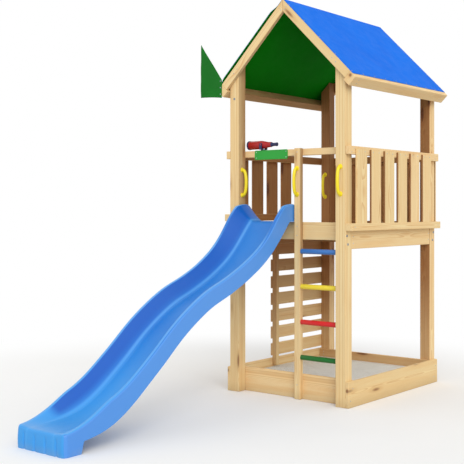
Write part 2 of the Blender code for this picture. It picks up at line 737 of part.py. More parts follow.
def buildTelescope():
    """A telescope that turns on a swivel and tips in its yoke."""
    centreY = frontInner + fitGap + frontRailThickness / 2
    railZ = railTop + fitGap
    pivot = Vector((scopeX, centreY, railTop + scopePivotRise))
    bm = bmesh.new()
    profile = ((0, 0), (0, swivelRadius), (swivelHeight - 0.002, swivelRadius),
               (swivelHeight, swivelRadius - 0.002), (swivelHeight, 0))
    addTurned(bm, profile, (0, 0, 1), (scopeX, centreY, railZ))
    addObject("telescope_base", bm, (0.01, 0.015, 0.06), 0.4, smooth=True)

    yokeZ = railZ + swivelHeight + fitGap
    inner = scopeBodyRadius + yokeSideGap
    outer = inner + yokeCheek
    cheekTop = pivot.z + yokeWidth / 2
    outline = [(centreY - outer, yokeZ), (centreY + outer, yokeZ), (centreY + outer, cheekTop),
               (centreY + inner, cheekTop), (centreY + inner, yokeZ + yokePlate),
               (centreY - inner, yokeZ + yokePlate), (centreY - inner, cheekTop), (centreY - outer, cheekTop)]
    bm = bmesh.new()
    addPrism(bm, outline, scopeX - yokeWidth / 2, scopeX + yokeWidth / 2, axis="x")
    yoke = addObject("telescope_yoke", bm, (0.01, 0.015, 0.06), 0.4, origin=(scopeX, centreY, yokeZ))
    bm = bmesh.new()
    hole = pinRadius + pinClearance
    addTurned(bm, ((-outer - 0.01, 0), (-outer - 0.01, hole), (outer + 0.01, hole), (outer + 0.01, 0)),
              (0, 1, 0), pivot, 20)
    joinWith(yoke, addTool("telescope_hole_tool", bm), "DIFFERENCE")

    ringFront = -scopeHalfLength
    bodyFront = ringFront + scopeRingLength + fitGap
    bodyBack = bodyFront + scopeBodyLength
    bm = bmesh.new()
    radius = scopeBodyRadius
    profile = ((bodyFront + scopeRecess, 0), (bodyFront + scopeRecess, scopeRingBore), (bodyFront, scopeRingBore),
               (bodyFront, radius - 0.001), (bodyFront + 0.001, radius), (bodyBack - scopeTaperLength, radius),
               (bodyBack - 0.75 * scopeTaperLength, radius - 0.001),
               (bodyBack - 0.02, scopeNeckRadius + 0.001), (bodyBack - 0.001, scopeNeckRadius),
               (bodyBack, scopeNeckRadius - 0.001), (bodyBack, 0))
    addTurned(bm, profile, (1, 0, 0), pivot)
    barrel = addObject("telescope_barrel", bm, (0.38, 0.004, 0.004), 0.35, origin=pivot, smooth=True)
    bm = bmesh.new()
    pinEnd = outer + 0.002
    addTurned(bm, ((-pinEnd, 0), (-pinEnd, pinRadius), (pinEnd, pinRadius), (pinEnd, 0)), (0, 1, 0), pivot, 20)
    joinWith(barrel, addTool("telescope_pin_tool", bm))

    bm = bmesh.new()
    profile = ((ringFront, scopeRingBore), (ringFront, scopeRingRadius - 0.002), (ringFront + 0.002, scopeRingRadius),
               (ringFront + scopeRingLength, scopeRingRadius), (ringFront + scopeRingLength, scopeRingBore))
    addTurned(bm, profile, (1, 0, 0), pivot)
    addObject("telescope_ring", bm, (0.01, 0.015, 0.06), 0.35, origin=pivot, smooth=True)
    eye = bodyBack + fitGap
    bm = bmesh.new()
    profile = ((eye, 0), (eye, scopeEyeRadius), (eye + 0.4 * scopeEyeLength, scopeEyeEndRadius),
               (eye + 0.75 * scopeEyeLength, scopeEyeEndRadius),
               (eye + 0.8 * scopeEyeLength, scopeEyeEndRadius + 0.002),
               (eye + scopeEyeLength, scopeEyeEndRadius + 0.002), (eye + scopeEyeLength, scopeEyeEndRadius - 0.003),
               (eye + 0.9 * scopeEyeLength, scopeEyeEndRadius - 0.005), (eye + 0.9 * scopeEyeLength, 0))
    addTurned(bm, profile, (1, 0, 0), pivot)
    addObject("telescope_eyepiece", bm, (0.01, 0.015, 0.06), 0.35, origin=pivot, smooth=True)


def buildPlate():
    """A bare plate with round corners on the front rail."""
    left = plateRight - plateLength
    top = railTop + plateRise
    low = top - plateHeight
    corners = ((left + plateLength / 2, low, 0), (plateRight, low, plateCorner), (plateRight, top, plateCorner),
               (left, top, plateCorner), (left, low, plateCorner), (left + plateLength / 2, low, 0))
    outline = [(p.x, p.y) for p in filletPath(corners, 4)][:-1]
    makePrism("front_plate", outline, frontInner - plateThickness, frontInner, (0.01, 0.30, 0.02), 0.4, edge=0.0)


def setOrigin():
    """Puts the world's origin under the middle of the whole tower, on the ground."""
    bpy.context.view_layer.update()
    graph = bpy.context.evaluated_depsgraph_get()
    low = Vector((1e9, 1e9, 1e9))
    high = -low
    for item in bpy.data.objects:
        if item.type == "MESH" and not item.hide_render:
            seen = item.evaluated_get(graph)
            mesh = seen.to_mesh()
            for vert in mesh.vertices:
                place = seen.matrix_world @ vert.co
                low = Vector(map(min, low, place))
                high = Vector(map(max, high, place))
            seen.to_mesh_clear()
    root.location = (-(low.x + high.x) / 2, -(low.y + high.y) / 2, -low.z)
    print("size", [round(v, 4) for v in high - low], "origin shift", [round(v, 5) for v in root.location])


clearScene()
root = bpy.data.objects.new("tower_frame", None)
bpy.context.scene.collection.objects.link(root)
buildPosts()
buildSandbox()
buildPlatform()
buildRailing()
buildLadder()
buildClimbingSide()
buildRoof()
buildSheet()
buildPennant()
buildSlide()
buildGrips()
buildTelescope()
buildPlate()
setOrigin()
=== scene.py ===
import math

import bmesh
import bpy
from mathutils import Matrix, Vector


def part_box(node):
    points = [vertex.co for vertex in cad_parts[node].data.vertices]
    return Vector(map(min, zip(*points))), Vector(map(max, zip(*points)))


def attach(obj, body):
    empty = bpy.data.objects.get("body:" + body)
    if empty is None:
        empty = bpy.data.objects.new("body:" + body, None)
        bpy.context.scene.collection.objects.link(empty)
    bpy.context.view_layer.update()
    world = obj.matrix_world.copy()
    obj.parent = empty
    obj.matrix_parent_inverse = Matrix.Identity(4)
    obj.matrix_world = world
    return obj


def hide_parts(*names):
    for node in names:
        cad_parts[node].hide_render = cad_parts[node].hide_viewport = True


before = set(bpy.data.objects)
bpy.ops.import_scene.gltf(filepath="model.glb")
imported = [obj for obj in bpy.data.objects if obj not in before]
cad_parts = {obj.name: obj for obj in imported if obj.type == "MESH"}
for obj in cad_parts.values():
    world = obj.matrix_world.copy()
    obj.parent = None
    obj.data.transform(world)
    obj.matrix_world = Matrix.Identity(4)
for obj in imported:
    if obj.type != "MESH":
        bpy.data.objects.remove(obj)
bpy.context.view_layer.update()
print("frame:", len(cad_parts), "nodes")

imageSize = 464
fitGap = 0.0003
clothThickness = 0.0014

# The drawing's origin is the middle of the four posts on the ground. Front is -Y, right is +X.
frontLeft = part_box("post_front_left")
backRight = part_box("post_back_right")
middle = Vector(((frontLeft[0].x + backRight[1].x) / 2, (frontLeft[0].y + backRight[1].y) / 2, 0))
halfWidth = (backRight[1].x - frontLeft[0].x) / 2
halfDepth = (backRight[1].y - frontLeft[0].y) / 2
postSize = frontLeft[1].x - frontLeft[0].x


cameraLook = {
    "turn": 38.953,                      # degrees round from the front
    "place": (4.5701, -7.0667, 1.5698),  # from the drawing's origin
    "focus": 943.1,                      # in pixels of the photo
    "imageMiddle": (234.756, 208.787),
}

lightLook = {
    "sky": 0.78,
    "sunStrength": 1.5,
    "sunTurn": 44,
    "sunRise": 28,
    "sunSpread": 45,
    "floor": (250, 250, 249),
    "floorInShade": (215, 215, 215),   # what the floor throws back under the object
    "shadowReach": 2.6,      # metres from the middle; further out the floor turns white to the camera
    "whiteFrom": 4.6,
    "floorSize": 40.0,       # from the middle to each edge
}


def srgb(red, green, blue):
    def linear(value):
        value /= 255
        return value / 12.92 if value <= 0.04045 else ((value + 0.055) / 1.055) ** 2.4
    return (linear(red), linear(green), linear(blue), 1.0)


def linkItem(name, data):
    item = bpy.data.objects.new(name, data)
    bpy.context.scene.collection.objects.link(item)
    return item


def setCamera():
    camera = bpy.data.cameras.new("camera")
    camera.sensor_width = 36
    camera.lens = cameraLook["focus"] / imageSize * 36
    camera.shift_x = (imageSize / 2 - cameraLook["imageMiddle"][0]) / imageSize
    camera.shift_y = (cameraLook["imageMiddle"][1] - imageSize / 2) / imageSize
    camera.clip_end = 100
    item = linkItem("camera", camera)
    item.location = middle + Vector(cameraLook["place"])
    item.rotation_euler = (math.radians(90), 0, math.radians(cameraLook["turn"]))
    bpy.context.scene.camera = item


def addSun():
    sun = bpy.data.lights.new("key_light", "SUN")
    sun.energy = lightLook["sunStrength"]
    sun.angle = math.radians(lightLook["sunSpread"])
    item = linkItem("key_light", sun)
    item.rotation_euler = (math.radians(90 - lightLook["sunRise"]), 0, math.radians(lightLook["sunTurn"]))


setCamera()
addSun()
bpy.context.scene.view_settings.view_transform = "Standard"
print("camera and lights set")


def fillRamp(ramp, stops):
    ramp.elements[0].position = stops[0][0]
    ramp.elements[-1].position = stops[-1][0]
    for place, colour in stops[1:-1]:
        ramp.elements.new(place)
    for element, (place, colour) in zip(ramp.elements, stops):
        element.color = srgb(*colour)


class Channel:
    # One output in a tree of nodes; sums on it add Math nodes
    def __init__(self, tree, socket):
        self.tree = tree
        self.socket = socket

    def beside(self, label):
        # Another output of the same node
        return Channel(self.tree, self.socket.node.outputs[label])

    def maths(self, operation, *others):
        return self.tree.maths(operation, self, *others)

    def __add__(self, other):
        return self.maths("ADD", other)

    __radd__ = __add__

    def __sub__(self, other):
        return self.maths("SUBTRACT", other)

    def __rsub__(self, other):
        return self.tree.maths("SUBTRACT", other, self)

    def __mul__(self, other):
        return self.maths("MULTIPLY", other)

    __rmul__ = __mul__

    def __truediv__(self, other):
        return self.maths("DIVIDE", other)

    def __pow__(self, other):
        return self.maths("POWER", other)


class Tree:
    # A tree of nodes being written
    def __init__(self, data):
        self.data = data

    def add(self, kind, settings=None, sockets=None, out=0):
        node = self.data.nodes.new(kind)
        for key, value in (settings or {}).items():
            if key == "stops":
                fillRamp(node.color_ramp, value)
            else:
                setattr(node, key, value)
        for key, value in (sockets or {}).items():
            if isinstance(value, Channel):
                self.data.links.new(value.socket, node.inputs[key])
            else:
                node.inputs[key].default_value = value
        return Channel(self, node.outputs[out])

    def maths(self, operation, *values):
        return self.add("ShaderNodeMath", {"operation": operation}, dict(enumerate(values)))

    def split(self, vector):
        parts = self.add("ShaderNodeSeparateXYZ", None, {0: vector})
        return [parts.beside(i) for i in range(3)]

    def join(self, x, y, z):
        return self.add("ShaderNodeCombineXYZ", None, {0: x, 1: y, 2: z})

    def close(self, last, kind, label):
        output = self.data.nodes.new(kind)
        self.data.links.new(last.socket, output.inputs[label])


class Paint(Tree):
    # A material or a world
    def __init__(self, name, store=None):
        self.material = (bpy.data.materials if store is None else store).new(name)
        self.material.use_nodes = True
        super().__init__(self.material.node_tree)
        self.data.nodes.clear()

    def place(self, origin=(0, 0, 0), turn=(0, 0, 0)):
        # Object coordinates seen from a piece's own origin and direction
        here = self.add("ShaderNodeTexCoord", out=3)
        return self.add("ShaderNodeMapping", {"vector_type": "TEXTURE"},
                        {"Vector": here, "Location": origin, "Rotation": [math.radians(a) for a in turn]})

    def noise(self, vector, scale=1.0, detail=2.0, roughness=0.5, distortion=0.0):
        return self.add("ShaderNodeTexNoise", None, {"Vector": vector, "Scale": scale, "Detail": detail,
                                                     "Roughness": roughness, "Distortion": distortion})

    def fade(self, value, low, high, toLow=0.0, toHigh=1.0):
        return self.add("ShaderNodeMapRange", {"interpolation_type": "SMOOTHSTEP"},
                        {0: value, 1: low, 2: high, 3: toLow, 4: toHigh})

    def mix(self, factor, first, second, blend="MIX"):
        # Each of the two is a channel or a plain colour
        first, second = (c if isinstance(c, Channel) else srgb(*c) for c in (first, second))
        return self.add("ShaderNodeMix", {"data_type": "RGBA", "blend_type": blend},
                        {0: factor, 6: first, 7: second}, out=2)

    def ramp(self, value, *stops):
        return self.add("ShaderNodeValToRGB", {"stops": stops}, {0: value})

    def bump(self, height, distance, strength=1.0):
        return self.add("ShaderNodeBump", None,
                        {"Height": height, "Distance": distance, "Strength": strength})

    def finish(self, colour, roughness, normal, **fixed):
        sockets = {"Base Color": colour, "Roughness": roughness, "Normal": normal}
        for label, value in fixed.items():
            sockets[{"coat": "Coat Weight", "coatRoughness": "Coat Roughness",
                     "specular": "Specular IOR Level", "metallic": "Metallic"}[label]] = value
        return self.output(self.add("ShaderNodeBsdfPrincipled", None, sockets))

    def output(self, shader, kind="ShaderNodeOutputMaterial"):
        self.close(shader, kind, "Surface")
        return self.material


timberLook = {
    "pale": (244, 217, 165),
    "warm": (240, 203, 146),
    "green": (230, 209, 152),
    "late": (208, 158, 98),
    "knot": (126, 72, 36),
    "ringWidth": 0.0058,
    "ringStrength": 0.52,
    "knotShare": 0.17,       # size of the knots in their cells
    "roughness": 0.66,
    "inside": (158, 118, 84),      # painted shade: faces that look into the tower are darkened towards this
    "paintedShadeShare": 0.92,
}


def woodGrain(paint, length, across, depth, tone):
    # Rings round the heart of the log, bent by slow waves and by knots
    slow = paint.noise(paint.join(length * 1.1, across * 4.0, depth * 4.0), 1.0, 2.0) - 0.5
    cell = paint.join(length * 1.9, across * 8.5, depth * 8.5)
    nearKnot = paint.add("ShaderNodeTexVoronoi", None, {"Vector": cell, "Scale": 1.0})
    knot = paint.fade(nearKnot, timberLook["knotShare"], timberLook["knotShare"] * 0.45)
    swirl = paint.fade(nearKnot, 0.42, 0.0)
    radius = ((across + slow * 0.022) ** 2.0 + (depth + slow * 0.012) ** 2.0) ** 0.5
    phase = radius / timberLook["ringWidth"] + swirl * 2.2 + slow * 3.0
    saw = phase.maths("FRACT")
    late = paint.fade(saw, 0.35, 0.88) * paint.fade(saw, 1.0, 0.92)
    fibre = paint.noise(paint.join(length * 7.0, across * 260.0, depth * 260.0), 1.0, 3.0, 0.62)
    streak = paint.noise(paint.join(length * 1.2, across * 26.0, depth * 26.0), 1.0, 2.0, 0.6)
    colour = paint.mix(paint.fade(streak, 0.32, 0.70), timberLook["pale"], timberLook["warm"])
    colour = paint.mix(tone, colour, timberLook["green"])
    colour = paint.mix(late * timberLook["ringStrength"], colour, timberLook["late"])
    colour = paint.mix(paint.fade(fibre, 0.42, 0.78) * 0.20, colour, timberLook["late"])
    rim = paint.fade(nearKnot, timberLook["knotShare"] * 1.7, timberLook["knotShare"])
    colour = paint.mix(rim * 0.30, colour, timberLook["late"])
    colour = paint.mix(knot * 0.78, colour, timberLook["knot"])
    height = late * 0.5 + fibre * 0.7 + knot * 0.5
    return colour, height


def timberFinish(paint, colour, height):
    # A little dirt where the wood nears the ground, and fibres to the touch
    x, y, z = paint.split(paint.place(middle))
    dirt = paint.fade(z, 0.10, 0.0) * 0.22
    colour = paint.mix(dirt, colour, (120, 92, 60))
    # Painted shade: faces that look into the tower are darkened towards a browner tint, more high up under
    # the deck and roof, less near the ground and at the open front
    way = paint.split(paint.add("ShaderNodeTexCoord", out=1))
    inside = (paint.fade(way[0], 0.3, 0.9) * paint.fade(x, halfWidth - 0.04, halfWidth - 0.06)
              * paint.fade(y, -halfDepth, 0.15 - halfDepth, 0.3, 1.0) * paint.fade(z, 0.25, 1.40, 0.15, 1.0)
              + paint.fade(way[0], -0.3, -0.9) * paint.fade(x, 0.06 - halfWidth, 0.08 - halfWidth)
              + paint.fade(way[1], -0.3, -0.9) * paint.fade(y, 0.11 - halfDepth, 0.13 - halfDepth)
              + paint.fade(way[1], 0.3, 0.9) * paint.fade(y, halfDepth - 0.04, halfDepth - 0.06))
    paintedShade = inside * paint.fade(z, 0.15, 1.15, 0.55, 1.0) * timberLook["paintedShadeShare"]
    colour = paint.mix(paintedShade.maths("MINIMUM", 1.0), colour, timberLook["inside"], "MULTIPLY")
    roughness = paint.fade(height, 0.2, 1.1, timberLook["roughness"] + 0.06, timberLook["roughness"] - 0.06)
    return paint.finish(colour, roughness, paint.bump(height, 0.0006, 0.55), specular=0.35)


turns = {"x": (0, 0, 0), "y": (0, 0, 90), "z": (0, -90, 0), "right": (0, 45, 0), "left": (0, -45, 0)}


def timberMaterial(name, along, seed):
    low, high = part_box(name)
    heart = (low + high) / 2
    # The heart of the log lies beside most boards and inside the posts
    reach = 0.012 if name.startswith("post") else 0.045 + 0.035 * abs(math.sin(seed * 2.3))
    heart += reach * Vector((math.sin(seed * 1.7), math.cos(seed * 2.9), math.sin(seed * 0.9 + 1)))
    paint = Paint("wood_" + name)
    length, across, depth = paint.split(paint.place(heart, turns[along]))
    colour, height = woodGrain(paint, length + seed * 3.7, across, depth, 0.2 + 0.2 * math.sin(seed * 5.1))
    return timberFinish(paint, colour, height)


def boardedMaterial(name, along, axis, start, pitch, seed, foot=None):
    # Boards side by side, each from its own log. foot is (height of the rail below them, its direction).
    paint = Paint("wood_" + name)
    places = paint.split(paint.place())
    share = (places[axis] - start) / pitch
    number = share.maths("FLOOR")
    chance, other = (paint.add("ShaderNodeTexWhiteNoise", {"noise_dimensions": "1D"}, {"W": number + shift})
                     for shift in (seed * 11.0, seed * 7.0 + 40.0))
    across = (share - number - 0.5) * pitch + (chance - 0.5) * 0.16
    third = 3 - axis - "xyz".index(along)
    low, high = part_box(name)
    depth = places[third] - (low[third] + high[third]) / 2 + 0.02 + other * 0.05
    colour, height = woodGrain(paint, places["xyz".index(along)] + chance * 9.0, across, depth, other * 0.5)
    if foot:
        heart = Vector(((low.x + high.x) / 2 + 0.05, (low.y + high.y) / 2 + 0.04, foot[0] - 0.03))
        length, wide, deep = paint.split(paint.place(heart, turns[foot[1]]))
        railColour, railHeight = woodGrain(paint, length, wide, deep, 0.3)
        upper = paint.fade(places[2], foot[0] - 0.0002, foot[0] + 0.0002)
        colour = paint.mix(upper, railColour, colour)
        height = railHeight + upper * (height - railHeight)
    return timberFinish(paint, colour, height)


def setMaterial(node, material):
    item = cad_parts[node]
    if not item.material_slots:
        item.data.materials.append(material)
    for place in item.material_slots:
        place.material = material


def deckRow():
    # Where the deck's first board starts and how far it is from board to board
    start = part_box("platform_beam_front")[1].y
    return start, (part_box("post_back_left")[0].y - start + railing["deckGap"]) / railing["deckBoards"]


def backRow():
    # The same for the slats of the back railing
    gap = railing["slatGap"]
    return middle.x - halfWidth - gap / 2, (2 * halfWidth + gap) / railing["backSlats"]


def paintTimber():
    directions = {"climbing_stud": "z", "post_middle": "z", "front_rail": "x", "top_rail_back": "x",
                  "ridge_beam": "y"}
    directions.update({"climbing_board_%d" % i: "y" for i in range(1, 9)})
    for side in ("left", "right"):
        directions.update({part + side: "y" for part in ("sandbox_board_", "platform_beam_", "top_rail_",
                                                         "eave_beam_")})
        for end in ("front_", "back_"):
            directions["post_" + end + side] = "z"
            directions["rafter_" + end + side] = side
    for end in ("front", "back"):
        directions.update({part + end: "x" for part in ("sandbox_board_", "platform_beam_")})
    for seed, (name, along) in enumerate(sorted(directions.items())):
        setMaterial(name, timberMaterial(name, along, seed + 1.0))
    setMaterial("platform_deck", boardedMaterial("platform_deck", "x", 1, *deckRow(), 2.0))
    step = railing["slatWidth"] + railing["slatGap"]
    for seed, side in ((3.0, "left"), (5.0, "right")):
        start = middle.y - halfDepth + railing[side + "Start"] - railing["slatGap"] / 2
        node = "railing_" + side
        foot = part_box(node)[0].z + railing["footHeight"]
        setMaterial(node, boardedMaterial(node, "z", 1, start, step, seed, (foot, "y")))
    node = "railing_back"
    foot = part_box(node)[0].z + railing["footHeight"]
    setMaterial(node, boardedMaterial(node, "z", 0, *backRow(), 8.0, (foot, "x")))


railing = {
    "slatWidth": 0.155,
    "slatGap": 0.064,
    "slatThickness": 0.018,
    "rightStart": 0.079,      # of the first slat, from the front of the posts
    "leftStart": 0.158,
    "rightSlats": 6,
    "leftSlats": 4,
    "backSlats": 5,
    "footHeight": 0.060,
    "deckBoards": 8,
    "deckGap": 0.008,
}

paintTimber()
print("timber painted")


def addPiece(name, source, materials, body="tower", angle=35.0, closed=True):
    # A bmesh or a mesh in the frame's own place becomes a piece that rides on a body
    if isinstance(source, bmesh.types.BMesh):
        if closed:
            bmesh.ops.recalc_face_normals(source, faces=source.faces)
        mesh = bpy.data.meshes.new(name)
        source.to_mesh(mesh)
        source.free()
    else:
        mesh = source
        mesh.name = name
    mesh.shade_smooth()
    mesh.set_sharp_from_angle(angle=math.radians(angle))
    if materials:
        mesh.materials.clear()
        for material in materials:
            mesh.materials.append(material)
    item = linkItem(name, mesh)
    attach(item, body)
    return item


def standFor(piece, node):
    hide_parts(node)


def turnedShape(bm, profile, axis, centre, sides=64):
    # Spins (along the axis, radius) round the axis through the centre
    axis = Vector(axis)
    across = axis.orthogonal().normalized()
    centre = Vector(centre)
    verts = [bm.verts.new(centre + axis * along + across * radius) for along, radius in profile]
    edges = [bm.edges.new(pair) for pair in zip(verts, verts[1:])]
    if profile[0][1] > 0:
        edges.append(bm.edges.new((verts[-1], verts[0])))
    bmesh.ops.spin(bm, geom=verts + edges, cent=centre, axis=axis, angle=2 * math.pi, steps=sides,
                   use_merge=True)
    bmesh.ops.remove_doubles(bm, verts=bm.verts, dist=0.00002)


def filletPath(corners, steps):
    # Points along a line of (a, b, radius) whose inner corners are rounded
    path = [Vector(corners[0][:2])]
    for before, corner, after in zip(corners, corners[1:], corners[2:]):
        here = Vector(corner[:2])
        toBefore = Vector(before[:2]) - here
        toAfter = Vector(after[:2]) - here
        between = (toBefore.normalized() + toAfter.normalized()).normalized()
        half = toBefore.angle(toAfter) / 2
        reach = min(corner[2] / math.tan(half), 0.48 * toBefore.length, 0.48 * toAfter.length)
        radius = reach * math.tan(half)
        turnCentre = here + between * radius / math.sin(half)
        start = here + toBefore.normalized() * reach - turnCentre
        end = here + toAfter.normalized() * reach - turnCentre
        turn = start.angle_signed(end)
        for i in range(steps + 1):
            path.append(turnCentre + Matrix.Rotation(-turn * i / steps, 2) @ start)
    path.append(Vector(corners[-1][:2]))
    return path


def bakedMesh(item):
    # The mesh with its modifiers done, and the object gone
    bpy.context.view_layer.update()
    graph = bpy.context.evaluated_depsgraph_get()
    mesh = bpy.data.meshes.new_from_object(item.evaluated_get(graph))
    bpy.data.objects.remove(item, do_unlink=True)
    return mesh


def bridge(bm, rows, closed=False):
    for a, b in zip(rows, rows[1:]):
        count = len(a) if closed else len(a) - 1
        for j in range(count):
            k = (j + 1) % len(a)
            bm.faces.new((a[j], a[k], b[k], b[j]))


class Growth(Tree):
    # A Geometry Nodes tree with named inputs, which ends in plain painted mesh
    def __init__(self, name, inputs):
        super().__init__(bpy.data.node_groups.new(name, "GeometryNodeTree"))
        face = self.data.interface
        face.new_socket(name="Geometry", in_out="INPUT", socket_type="NodeSocketGeometry")
        for label, value in inputs.items():
            kind = "NodeSocketInt" if isinstance(value, int) else "NodeSocketFloat"
            face.new_socket(name=label, in_out="INPUT", socket_type=kind).default_value = value
        face.new_socket(name="Material", in_out="INPUT", socket_type="NodeSocketMaterial")
        face.new_socket(name="Geometry", in_out="OUTPUT", socket_type="NodeSocketGeometry")
        first = self.add("NodeGroupInput")
        self.given = {label: first.beside(label) for label in ("Geometry", "Material", *inputs)}

    def finish(self, geometry):
        whole = self.add("GeometryNodeRealizeInstances", None, {0: geometry})
        painted = self.add("GeometryNodeSetMaterial", None, {0: whole, "Material": self.given["Material"]})
        self.close(painted, "NodeGroupOutput", 0)
        return self.data


def grow(tree, source, name, material, values=None, body="tower", angle=35.0):
    modifier = source.modifiers.new(name, "NODES")
    modifier.node_group = tree
    wanted = dict(values or {}, Material=material)
    for socket in tree.interface.items_tree:
        if socket.item_type == "SOCKET" and socket.in_out == "INPUT" and socket.name in wanted:
            modifier[socket.identifier] = wanted[socket.name]
    return addPiece(name, bakedMesh(source), None, body, angle)


def pointsSource(name, points):
    # Loose points that each know which way they face
    mesh = bpy.data.meshes.new(name)
    mesh.from_pydata([p for p, facing in points], [], [])
    facing = mesh.attributes.new("facing", "FLOAT_VECTOR", "POINT")
    for i, (place, way) in enumerate(points):
        facing.data[i].vector = way
    return linkItem(name, mesh)


def lineSource(name, lines):
    # Each line's points joined one after another
    verts, edges = [], []
    for line in lines:
        first = len(verts)
        verts += line
        edges += [(first + i, first + i + 1) for i in range(len(line) - 1)]
    mesh = bpy.data.meshes.new(name)
    mesh.from_pydata(verts, edges, [])
    return linkItem(name, mesh)


def mappedSheet(name, rows, materials):
    # Rows of (place, u, v) become one cloth with its own map
    bm = bmesh.new()
    layer = bm.loops.layers.uv.new("cloth")
    rows = [[(bm.verts.new(place), u, v) for place, u, v in row] for row in rows]
    area = 0.0
    for a, b in zip(rows, rows[1:]):
        for j in range(len(a) - 1):
            corners = (a[j], b[j], b[j + 1], a[j + 1])
            face = bm.faces.new([c[0] for c in corners])
            area += face.calc_area()
            for loop, corner in zip(face.loops, corners):
                loop[layer].uv = corner[1:]
    piece = addPiece(name, bm, materials, closed=False, angle=60.0)
    modifier = piece.modifiers.new("thickness", "SOLIDIFY")
    modifier.thickness = clothThickness
    modifier.offset = 0.0
    return piece, modifier, area


def scatterOn(growth, shape):
    # The shape on every point of the source, turned the way that the point faces
    facing = growth.add("GeometryNodeInputNamedAttribute", {"data_type": "FLOAT_VECTOR"}, {"Name": "facing"})
    spin = growth.add("FunctionNodeRandomValue", {"data_type": "FLOAT"},
                      {2: 0.0, 3: 6.28, "Seed": growth.given["Seed"]}, out=1)
    start = growth.add("FunctionNodeAxisAngleToRotation", None, {"Axis": (0, 0, 1), "Angle": spin})
    way = growth.add("FunctionNodeAlignRotationToVector", {"axis": "Z"},
                     {"Rotation": start, "Vector": facing})
    return growth.add("GeometryNodeInstanceOnPoints", None,
                      {"Points": growth.given["Geometry"], "Instance": shape, "Rotation": way})


def screwTree():
    # A low cone with a sunk recess
    growth = Growth("screw_heads", {"Head Radius": 0.0048, "Head Height": 0.0011, "Recess Share": 0.46,
                                    "Sides": 14, "Seed": 3})
    radius = growth.given["Head Radius"]
    height = growth.given["Head Height"]
    cone = growth.add("GeometryNodeMeshCone", None,
                      {"Vertices": growth.given["Sides"], "Radius Top": radius * 0.78,
                       "Radius Bottom": radius, "Depth": height})
    rim = growth.add("GeometryNodeExtrudeMesh", None,
                     {"Mesh": cone, "Selection": cone.beside("Top"), "Offset Scale": 0.0})
    top = rim.beside("Top")
    inner = growth.add("GeometryNodeScaleElements", None,
                       {"Geometry": rim, "Selection": top, "Scale": growth.given["Recess Share"]})
    recess = growth.add("GeometryNodeExtrudeMesh", None,
                        {"Mesh": inner, "Selection": top, "Offset Scale": height * -0.8})
    return growth.finish(scatterOn(growth, recess))


def boltTree():
    # A washer with a domed cap
    growth = Growth("bolt_caps", {"Cap Radius": 0.0078, "Cap Height": 0.0050, "Washer Radius": 0.0105,
                                  "Washer Height": 0.0016, "Sides": 20, "Seed": 5})
    sides, radius, wide = (growth.given[label] for label in ("Sides", "Cap Radius", "Washer Radius"))
    washer = growth.add("GeometryNodeMeshCone", None,
                        {"Vertices": sides, "Radius Top": wide * 0.93, "Radius Bottom": wide,
                         "Depth": growth.given["Washer Height"]})
    dome = growth.add("GeometryNodeMeshUVSphere", None, {"Segments": sides, "Rings": 12, "Radius": 1.0})
    squat = growth.add("GeometryNodeTransform", None,
                       {"Geometry": dome, "Scale": growth.join(radius, radius, growth.given["Cap Height"])})
    # The lower half of the dome is pressed flat
    x, y, z = growth.split(growth.add("GeometryNodeInputPosition"))
    spot = growth.join(x, y, z.maths("MAXIMUM", 0.0))
    cap = growth.add("GeometryNodeSetPosition", None, {"Geometry": squat, "Position": spot})
    both = growth.add("GeometryNodeJoinGeometry")
    for part in (washer, cap):
        growth.data.links.new(part.socket, both.socket.node.inputs[0])
    return growth.finish(scatterOn(growth, both))


def stitchTree():
    # Short threads one after another along a line
    growth = Growth("stitches", {"Pitch": 0.0075, "Thread Radius": 0.0006, "Thread Length": 0.0027})
    curve = growth.add("GeometryNodeMeshToCurve", None, {0: growth.given["Geometry"]})
    points = growth.add("GeometryNodeCurveToPoints", {"mode": "LENGTH"},
                        {"Curve": curve, "Length": growth.given["Pitch"]})
    way = growth.add("FunctionNodeAlignRotationToVector", {"axis": "Z"},
                     {"Vector": points.beside("Tangent")})
    radius = growth.given["Thread Radius"]
    grain = growth.add("GeometryNodeMeshUVSphere", None, {"Segments": 6, "Rings": 4, "Radius": 1.0})
    size = growth.join(radius, radius, growth.given["Thread Length"])
    thread = growth.add("GeometryNodeTransform", None, {"Geometry": grain, "Scale": size})
    return growth.finish(growth.add("GeometryNodeInstanceOnPoints", None,
                                    {"Points": points, "Instance": thread, "Rotation": way}))


def gripTree():
    # A round bar along the drawn line, as thick as the line says at each point
    growth = Growth("bowed_bar", {"Sides": 28})
    curve = growth.add("GeometryNodeMeshToCurve", None, {0: growth.given["Geometry"]})
    thick = growth.add("GeometryNodeInputNamedAttribute", {"data_type": "FLOAT"}, {"Name": "thick"})
    ring = growth.add("GeometryNodeCurvePrimitiveCircle", {"mode": "RADIUS"},
                      {"Resolution": growth.given["Sides"], "Radius": 1.0})
    bar = growth.add("GeometryNodeCurveToMesh", None,
                     {"Curve": curve, "Profile Curve": ring, "Scale": thick, "Fill Caps": True})
    return growth.finish(bar)


def plasticMaterial(name, colour, roughness=0.34, grain=0.00022, wear=0.06, coat=0.15):
    # Moulded plastic: a faint orange peel, a slow unevenness of colour and fine scuffs
    paint = Paint(name)
    place = paint.place()
    slow = paint.noise(place, 3.0, 3.0)
    peel = paint.noise(place, 210.0, 2.0, 0.5)
    scuff = paint.noise(place, 34.0, 6.0, 0.7, 1.2)
    shade = paint.mix(paint.fade(slow, 0.3, 0.7) * 0.30, colour, [0.86 * v for v in colour])
    shade = paint.mix(paint.fade(scuff, 0.60, 0.80) * wear, shade, [0.5 * v + 127 for v in colour])
    rough = paint.fade(scuff, 0.42, 0.75, roughness, roughness + 0.14)
    return paint.finish(shade, rough, paint.bump(peel, grain, 0.5), coat=coat, coatRoughness=0.25)


